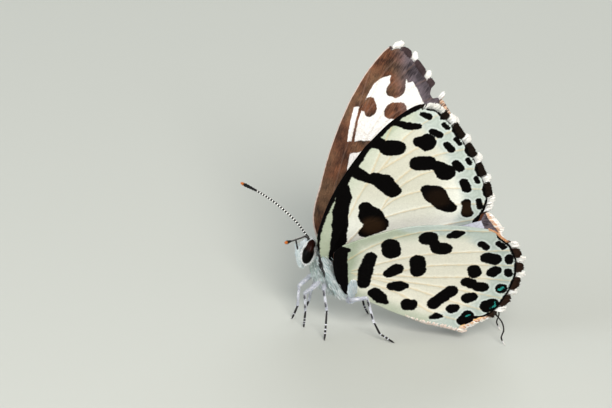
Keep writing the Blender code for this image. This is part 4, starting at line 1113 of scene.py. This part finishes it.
def add_leg(name, material, hair):
    """Thigh, shin and a foot of five joints ringed with white, with spurs at the ankle and two claws."""
    rng = np.random.default_rng(sum(map(ord, name)))
    points, knee, ankle = LEGS[name]
    shares, path, knots = bent_line(points, LEG_STATIONS)
    knee_at, ankle_at = knots[knee], knots[ankle]
    radii = table_at((
        (0.0, THIGH_RADIUS * 0.8), (knee_at * 0.55, THIGH_RADIUS), (knee_at * 0.93, KNEE_RADIUS),
        (knee_at * 1.06, SHIN_RADIUS), (ankle_at * 0.97, SHIN_RADIUS * 0.95), (ankle_at, ANKLE_RADIUS * 1.1),
        (ankle_at + 0.02, FOOT_RADIUS), (0.97, FOOT_RADIUS), (1.0, FOOT_RADIUS * 0.6)), shares)
    foot, joints = np.clip((shares - ankle_at) / (1 - ankle_at), 0, 1), np.array(FOOT_JOINTS)
    number = np.clip(np.searchsorted(joints, foot, side="right") - 1, 0, len(joints) - 2)
    into = foot - joints[number]
    radii = radii * (1 + 0.25 * (foot > 0) * (into / np.diff(joints)[number] - 0.5))
    rings = tube_rings(path, radii, LEG_SIDES)
    rings[..., 2] = np.maximum(rings[..., 2], 0.0)
    # Pale share: a white ring at the start of each foot joint, and two dark parts down the shin's outside
    ringed = (number >= 1) & (number <= 3)
    ring_share = smooth_step((RING_LENGTH - np.abs(into - RING_LENGTH / 2)) / 0.02 - 1.2) * ringed
    shin = np.clip((shares - knee_at) / (ankle_at - knee_at), 0, 1)
    parts = np.exp(-((shin - 0.2) / 0.18) ** 2) + np.exp(-((shin - 0.74) / 0.16) ** 2)
    shin_dark = (0.5 if name in PALER_SHINS else 0.95) * parts
    outside = smooth_step(0.55 + unit(rings - path[:, None]) @ unit(np.array(DARK_SIDE_OF_SHIN)))
    pale = np.where(shares[:, None] < ankle_at, 1.0 - shin_dark[:, None] * outside, ring_share[:, None])
    shells = [(*closed_rings(rings), with_ends(pale))]
    spot, tip = path[np.abs(shares - ankle_at).argmin()], path[-1]
    ahead = unit(tip - spot)
    sideways = unit(np.cross(ahead, (0, 1, 0)))
    shells += [spike(spot, spot + ahead * SPUR[0] + sideways * turn * SPUR[0], SPUR[1], 0.8)
               for turn in (-1, 1)]
    toe = unit((tip - path[-6]) * (1, 1, 0) + (1e-4, 0, 0))
    level = np.cross(toe, (0, 0, 1.0))
    for turn in (-1, 1):
        claw_end = tip + toe * CLAW[0] + level * turn * 0.06
        claw_end[2] = 0.02
        shells.append(spike(tip, claw_end, CLAW[1], 0.0))
    joined, faces, values = join_shells(shells)
    joined[:, 2] = np.maximum(joined[:, 2], 0.0)
    part, side = name.split("_")
    make_piece(f"{side}_{part}_leg", joined, faces, [material], [f"leg_{name}"], {"pale": values})
    count, width = COATS["leg_hair"]
    at = rng.uniform(0.0, ankle_at, count)
    kept = rng.uniform(0, 1, count) < np.where(at < knee_at, 1.0, 0.55)
    if part == "hind":
        at[:UPPER_THIGH_TUFTS] *= knee_at * 0.5 / ankle_at
    at = at[kept]
    row, column, roots, out, forward = limb_roots(rng, path, rings, at)
    hanging = smooth_step(1.2 - at / (knee_at * 0.5))[:, None] * (part == "hind")
    length = np.where(at < knee_at, 0.15, 0.08)[:, None] * rng.uniform(0.7, 1.2, (len(at), 1))
    fall = hanging * (0.0, 0.0, -1.1)
    grow = unit(forward + out * 0.25 + fall + rng.normal(0, 0.12, out.shape)) * (length + 0.26 * hanging)
    colour = between(rng, "#FAFBFD", "#AEB9CE", len(at))
    colour = mix(colour, "#2E2836", (1 - pale[row, column]) * 0.9)
    unwrap = np.stack([column / LEG_SIDES, at], 1) * 0.99
    add_coat(f"{side}_{part}_leg_hair", roots, grow, out, width, colour, unwrap, hair)


def add_wing_base_hair(side, material):
    """Blue-white hairs that lie back and down from the thorax over the wing bases, shorter before and
    in the neck's black stripe, and a patch of short ones on the hind wing."""
    rng = np.random.default_rng(SEEDS["wing_base"] + side)
    count, width = COATS["wing_base_hair"]
    share = rng.uniform(0, 1, count)
    roots = curve_through(BASE_HAIR_LINE, share) * (1, side, 1)
    roots = roots + rng.normal(0, 1, roots.shape) * (0.16, 0.10, 0.16)
    ahead = unit(np.array(BASE_HAIR_LINE[-1]) - BASE_HAIR_LINE[0]) * (1, side, 1)
    out = np.tile((0.0, float(side), 0.1), (count, 1))
    grow = unit(ahead + (0.15, side * 0.05, -0.15) + rng.normal(0, 0.16, roots.shape))
    grow = grow * rng.uniform(0.4, 0.75, (count, 1)) * (1 - 0.5 * ramp(share, 0.6, 0.4))[:, None]
    colour = mix("#F8FDFE", "#9DB9BB", rng.uniform(0, 1, count) ** 1.3)
    stripe = chain_distance(roots[:, ::2], SHOULDER_STRIPE)
    in_stripe = ramp(stripe, 0.06, -0.04)
    back, up, _ = np.transpose(SHOULDER_STRIPE)
    covering = (roots[:, 0] < np.interp(roots[:, 2], up[::-1], back[::-1])) * ramp(stripe, 0.5, -0.2)
    grow = grow * (1 - 0.6 * np.maximum(in_stripe, covering))[:, None]
    unwrap = np.stack([share, rng.uniform(0.05, 0.9, count)], 1) * 0.99
    add_coat(f"{SIDE_NAMES[side]}_wing_base_hair", roots, grow, out, width,
             mix(colour, STRIPE_BLACK, in_stripe), unwrap, material, out * -0.03)
    count, width = COATS["hind_wing_hair"]
    centre, reach = np.array(HIND_PATCH)
    spread = rng.normal(0, 0.40, (count, 2))
    spread /= np.maximum(np.hypot(*spread.T) / 0.95, 1.0)[:, None]
    roots, out = hind_surface(centre + spread * reach, side)
    roots = roots + out * MEMBRANE / 2
    grow = unit(np.array([0.30, 0.0, -0.75]) + out * 0.16 + rng.normal(0, 0.22, roots.shape))
    grow = grow * rng.uniform(0.15, 0.35, (count, 1))
    colour = between(rng, "#F6FBFD", "#BCD2DA", count)
    add_coat(f"{SIDE_NAMES[side]}_hind_wing_hair", roots, grow, out, width, colour, spread / 2.0 + 0.5,
             material)


def rgba(hex_colour):
    return (*linear(hex_colour), 1.0)


def per_mm(size):
    """A texture's scale for features of this size in millimetres."""
    return 1.0 / (size * MM)


def node(tree, kind, inputs=(), output=0, **settings):
    """Adds a node, sets it up, links or fills its inputs, and gives one output. An input is a number,
    a socket, a hex colour or the name of a number kept on the mesh."""
    made = tree.nodes.new("ShaderNode" + kind)
    for key, value in settings.items():
        setattr(made, key, value)
    for socket, value in dict(inputs).items():
        if isinstance(value, str) and value.startswith("#"):
            value = rgba(value)
        elif isinstance(value, str):
            value = node(tree, "Attribute", output="Fac", attribute_name=value)
        if isinstance(value, bpy.types.NodeSocket):
            tree.links.new(value, made.inputs[socket])
        else:
            made.inputs[socket].default_value = value
    return made.outputs[output]


def new_material(name, even, scales=None):
    """A material with its even values on the shader's own sockets. scales, a size in mm and a strength,
    raises overlapping scales as cells with a fine ripple.

    Gives the material, its node tree, the object's own coordinates and the scales' colours."""
    material = bpy.data.materials.new(name)
    material.use_nodes = True
    tree = material.node_tree
    shader = tree.nodes["Principled BSDF"]
    for socket, value in {"IOR": CHITIN_IOR, **even}.items():
        shader.inputs[socket].default_value = value
    if scales is None:
        return material, tree, None, None
    size, strength = scales
    coords = node(tree, "TexCoord", output="Object")
    cells = node(tree, "TexVoronoi", {"Vector": coords, "Scale": per_mm(size)}, "Distance")
    ripple = node(tree, "TexNoise", {"Vector": coords, "Scale": per_mm(size * 0.6), "Detail": 2.0})
    height = node(tree, "Math", {0: cells, 1: ripple}, operation="ADD")
    bump = node(tree, "Bump", {"Height": height, "Strength": strength, "Distance": RELIEF_DEPTH * MM})
    tree.links.new(bump, shader.inputs["Normal"])
    return material, tree, coords, cells.node.outputs["Color"]


def finish(material, colour, shade=None, low=1.0, high=1.0):
    """Links the colour to the shader, first times a shade whose 0 to 1 becomes low to high."""
    tree = material.node_tree
    if shade is not None:
        shade = node(tree, "MapRange", {"Value": shade, "To Min": low, "To Max": high})
        colour = node(tree, "VectorMath", {0: colour, 1: shade}, operation="MULTIPLY")
    tree.links.new(colour, tree.nodes["Principled BSDF"].inputs["Base Color"])
    return material


def paint(tree, colour, *layers):
    """Lays colours over a ground in turn, each given with its share."""
    for share, over in layers:
        colour = node(tree, "Mix", {0: share, 6: colour, 7: over}, 2, data_type="RGBA")
    return colour


def under(tree, value, low, high, *shares):
    """1 where value is under low, 0 where it is over high, smooth between, times any further shares."""
    found = node(tree, "MapRange", {"Value": value, "From Min": low, "From Max": high, "To Min": 1.0,
                                    "To Max": 0.0}, interpolation_type="SMOOTHSTEP")
    for share in shares:
        found = node(tree, "Math", {0: found, 1: share}, operation="MULTIPLY")
    return found


def ragged(tree, value, coords, size, amount):
    """A distance made uneven by noise of this size in millimetres, as a row of scales ends unevenly."""
    noise = node(tree, "TexNoise", {"Vector": coords, "Scale": per_mm(size), "Detail": 3.0})
    for operation, other in (("SUBTRACT", 0.5), ("MULTIPLY", amount), ("ADD", value)):
        noise = node(tree, "Math", {0: noise, 1: other}, operation=operation)
    return noise


def wing_underside_material(kind):
    """Chitin scales in rows: matt and powdery, cream with cool grey edges and soot-black blots.
    Real scales are 0.05 mm wide, too fine to show, so their cells are drawn at 0.09 mm."""
    material, tree, coords, cells = new_material(
        f"{kind}_wing_underside_scales", {"Roughness": 0.85, "Specular IOR Level": 0.04}, (WING_SCALE, 0.35))
    pale, cream, cool = UNDERSIDE_COLOURS[kind]
    patchy = node(tree, "MapRange", {"Value": ragged(tree, "cool", coords, 0.8, 0.35)})
    bluish = node(tree, "Math", {0: "rim", 1: 0.65}, operation="MULTIPLY")
    blot = ragged(tree, "dark", coords, 0.45, 0.16)
    off_line = node(tree, "Math", {0: blot, 1: 0.22}, operation="SUBTRACT")
    off_line = node(tree, "Math", {0: off_line}, operation="ABSOLUTE")
    veins = ragged(tree, "veins", coords, 0.4, 0.04)
    edge = ragged(tree, blot, coords, 0.12, 0.17)
    teal = ragged(tree, "teal", coords, 0.09, 0.34)
    colour = paint(
        tree, pale, ("cream", cream), (patchy, cool), (bluish, "#B1BDBC"),
        # A pale ring and a thin line round each blot near the edge
        (under(tree, blot, 0.03, 0.16, bluish), "#C6CFCC"),
        (under(tree, off_line, 0.01, 0.10, "rim", 0.2), "#7F918A"),
        (under(tree, veins, 0.01, 0.08, 0.42), "#D0B88C"), ("amber", "#E8B878"),
        (under(tree, edge, -0.035, 0.035), paint(tree, "#030202", ("brown", "#2A1C10"))),
        (under(tree, teal, -0.05, 0.0), "#2A8A82"))
    return finish(material, colour, node(tree, "SeparateColor", {0: cells}), 0.94, 1.03)


def wing_upperside_material():
    """Chitin scales and long hairs: red-brown to olive at the front, violet-grey at the edge as a painted
    bluish sheen, chalk-white patches. The hairs run along the wing, so their streaks follow its own lines."""
    material, tree, coords, cells = new_material(
        "wing_upperside_scales", {"Roughness": 0.7, "Specular IOR Level": 0.15, "Sheen Weight": 0.08},
        (WING_SCALE, 0.4))
    lines = node(tree, "UVMap", uv_map="WingLines")
    stretched = node(tree, "Mapping", {"Vector": lines, "Scale": (190.0, 26.0, 1.0)})
    hairs = node(tree, "TexNoise", {"Vector": stretched, "Scale": 1.0, "Detail": 5.0})
    mottle = node(tree, "TexNoise", {"Vector": coords, "Scale": per_mm(1.1), "Detail": 3.0})
    streak = node(tree, "Math", {0: hairs, 1: mottle}, operation="ADD")
    streak = node(tree, "MapRange", {"Value": streak, "From Min": 0.8, "From Max": 1.2})
    patches = node(tree, "TexNoise", {"Vector": coords, "Scale": per_mm(1.8), "Detail": 2.0})
    patches = node(tree, "MapRange", {"Value": patches, "From Min": 0.42, "From Max": 0.6})
    red_brown, olive, violet = (paint(tree, deep, (streak, light)) for deep, light in UPPERSIDE_BROWNS)
    veins = under(tree, "veins", 0.02, 0.09, 0.3)
    dark = paint(tree, red_brown, (patches, olive), ("violet", violet), (veins, "#7A6258"))
    edge = under(tree, ragged(tree, "dark", coords, 0.12, 0.16), -0.04, 0.04)
    front = under(tree, ragged(tree, "front", coords, 0.3, 0.09), 0.045, 0.10)
    colour = paint(tree, "#EFEDEA", ("cool", "#BFC2D0"), (veins, "#DACFC2"), (edge, dark), (front, "#C9B7AD"))
    return finish(material, colour, node(tree, "SeparateColor", {0: cells}), 0.82, 1.08)


def coat_material(name, roughness, sheen):
    """Fine chitin hairs: soft, slightly silky, each darkened towards its root by painted shade."""
    material, tree, _, _ = new_material(
        name, {"Roughness": roughness, "Specular IOR Level": 0.08, "Sheen Weight": sheen})
    own_colour = node(tree, "Attribute", output="Color", attribute_name="coat")
    # Painted shade: the colour darkens to 0.86 at each tuft's root
    return finish(material, own_colour, "height", 0.86, 1.0)


def skin_material():
    """Cuticle under the hair: matt, carrying the coat's own markings a little darker, as painted shade
    between the hairs.
    """
    material, tree, coords, _ = new_material(
        "body_cuticle", {"Roughness": 0.7, "Specular IOR Level": 0.3}, (0.08, 0.4))
    noise = node(tree, "TexNoise", {"Vector": coords, "Scale": per_mm(0.15), "Detail": 3.0})
    own_colour = node(tree, "Attribute", output="Color", attribute_name="coat")
    return finish(material, own_colour, noise, 0.7, 1.0)


def eye_material():
    """Compound eye: wet-looking black facets; the upper lobe is browner, partly its own colour and partly a
    painted reddish-brown highlight. Real facets are
    0.02 mm across, too fine to show, so they are drawn at 0.05 mm."""
    material, tree, coords, _ = new_material(
        "compound_eye", {"Roughness": 0.3, "Specular IOR Level": 0.04, "Coat Weight": 0.025,
                         "Coat Roughness": 0.08}, (0.05, 0.10))
    mottled = node(tree, "TexNoise", {"Vector": coords, "Scale": per_mm(0.12)})
    lower = under(tree, "tall", 0.05, 0.4)
    # The upper lobe's reddish-brown mottle is partly a painted highlight
    return finish(material, paint(tree, "#070303", (mottled, "#2C100A"), (lower, "#030202")))


def banded_material(name, dark_hex, pale_hex, roughness):
    """Scaled cuticle of legs, palps and tails: matt, dark and pale along the limb by its pale share."""
    material, tree, coords, _ = new_material(
        name, {"Roughness": roughness, "Specular IOR Level": 0.35}, (0.05, 0.3))
    mottled = node(tree, "TexNoise", {"Vector": coords, "Scale": per_mm(0.2)})
    dark_share = under(tree, "pale", 0.3, 0.6)
    return finish(material, paint(tree, pale_hex, (mottled, "#B4B8CC"), (dark_share, dark_hex)))


def antenna_material():
    """Scaled cuticle in segments: black, a white ring at each joint of the shaft, an orange-brown tip."""
    material, tree, _, _ = new_material(
        "antenna_cuticle", {"Roughness": 0.6, "Specular IOR Level": 0.15}, (0.05, 0.25))
    within = node(tree, "Math", {0: "along", 1: float(ANTENNA_SEGMENTS)}, operation="MULTIPLY")
    within = node(tree, "Math", {0: within}, operation="FRACT")
    shaft, base = under(tree, "along", 0.76, 0.80), under(tree, "along", 0.05, 0.07)
    clear = node(tree, "Math", {0: shaft, 1: base}, operation="SUBTRACT")
    colour = paint(tree, "#060504", (under(tree, within, 0.28, 0.40, clear, "ringed"), "#F4F4F0"))
    return finish(material, paint(tree, "#B4642A", (under(tree, "along", 0.945, 0.965), colour)))


def add_floor():
    """A plain level floor of matt painted board, pale, with no shine."""
    mesh = bpy.data.meshes.new("floor")
    corners = np.array([(-1, -1, 0), (1, -1, 0), (1, 1, 0), (-1, 1, 0)]) * FLOOR_HALF
    mesh.from_pydata(place(corners).tolist(), [], [(0, 1, 2, 3)])
    mesh.materials.append(new_material("pale_floor", {
        "Roughness": 0.9, "Specular IOR Level": 0.2, "Base Color": rgba("#BFC2BD")})[0])
    put("floor", mesh)


def aim(thing, right, up, back, location):
    """Turns a camera or light so that it looks away from back."""
    rows = np.column_stack([right, up, back, location])
    thing.matrix_world = Matrix([*rows.tolist(), (0.0, 0.0, 0.0, 1.0)])


def add_camera():
    """A long lens at the photo's angle, turned towards the middle of the photo's framing."""
    flat = np.cos(VIEW_TILT)
    back = np.array([-np.sin(VIEW_TURN) * flat, -np.cos(VIEW_TURN) * flat, np.sin(VIEW_TILT)])
    level = np.array([np.cos(VIEW_TURN), -np.sin(VIEW_TURN), 0.0])
    right, up = turned(level, np.cross(back, level), VIEW_ROLL)
    spot = back * VIEW_DISTANCE
    beside = (IMAGE_WIDTH / 2 - ORIGIN_PIXEL[0]) / PIXELS_PER_MM
    above = (ORIGIN_PIXEL[1] - IMAGE_HEIGHT / 2) / PIXELS_PER_MM
    back = unit(spot - right * beside - up * above)
    right = unit(np.cross(up, back))
    data = bpy.data.cameras.new("camera")
    data.sensor_width = SENSOR
    data.lens = VIEW_DISTANCE * PIXELS_PER_MM / IMAGE_WIDTH * SENSOR
    data.clip_start, data.clip_end = 0.01, 10.0
    camera = put("camera", data)
    aim(camera, right, np.cross(back, right), back, place(spot))
    bpy.context.scene.camera = camera


def add_studio():
    """A soft key from the camera's side, a weak fill from the head's side and a pale, even room."""
    for name, (towards, size, watts, colour) in STUDIO_LIGHTS.items():
        back = unit(np.array(towards))
        right = unit(np.cross((0, 0, 1.0), back))
        data = bpy.data.lights.new(name, "AREA")
        data.shape, data.size, data.energy = "SQUARE", size * MM, watts
        data.color = tuple(linear(colour))
        spot = place(np.array(LIT_CENTRE) + back * LIGHT_DISTANCE)
        aim(put(name, data), right, np.cross(back, right), back, spot)
    world = bpy.data.worlds.new("studio")
    world.use_nodes = True
    background = world.node_tree.nodes["Background"]
    background.inputs["Color"].default_value = rgba(ROOM_COLOUR)
    background.inputs["Strength"].default_value = ROOM_STRENGTH
    bpy.context.scene.world = world
    bpy.context.scene.view_settings.view_transform = "Standard"


def build():
    """Every material, then every piece of the animal, then the studio round it."""
    undersides = {kind: wing_underside_material(kind) for kind in WINGS}
    upperside = wing_upperside_material()
    scales, hair = coat_material("fringe_scales", 0.8, 0.0), coat_material("silky_hair", 0.7, 0.2)
    limb = banded_material("leg_cuticle", "#120D10", "#F1F2F5", 0.6)
    palp = banded_material("palp_cuticle", "#0E0C0E", "#F4F5F6", 0.6)
    tail = banded_material("tail_cuticle", "#150E0A", "#F2EEE8", 0.7)
    antenna, eye = antenna_material(), eye_material()
    for side in (LEFT, RIGHT):
        for kind in WINGS:
            add_wing(kind, side, [undersides[kind], upperside])
            add_fringe(kind, side, scales)
        add_rear_fringe(side, scales)
        add_tail(side, tail, scales)
        add_eye(side, eye, hair)
        add_palp(side, palp, hair)
        add_wing_base_hair(side, hair)
    for side in (LEFT, RIGHT):
        add_antenna(side, antenna)
    add_body(skin_material(), hair)
    for name in LEGS:
        add_leg(name, limb, hair)
    add_floor()
    add_camera()
    add_studio()


build()
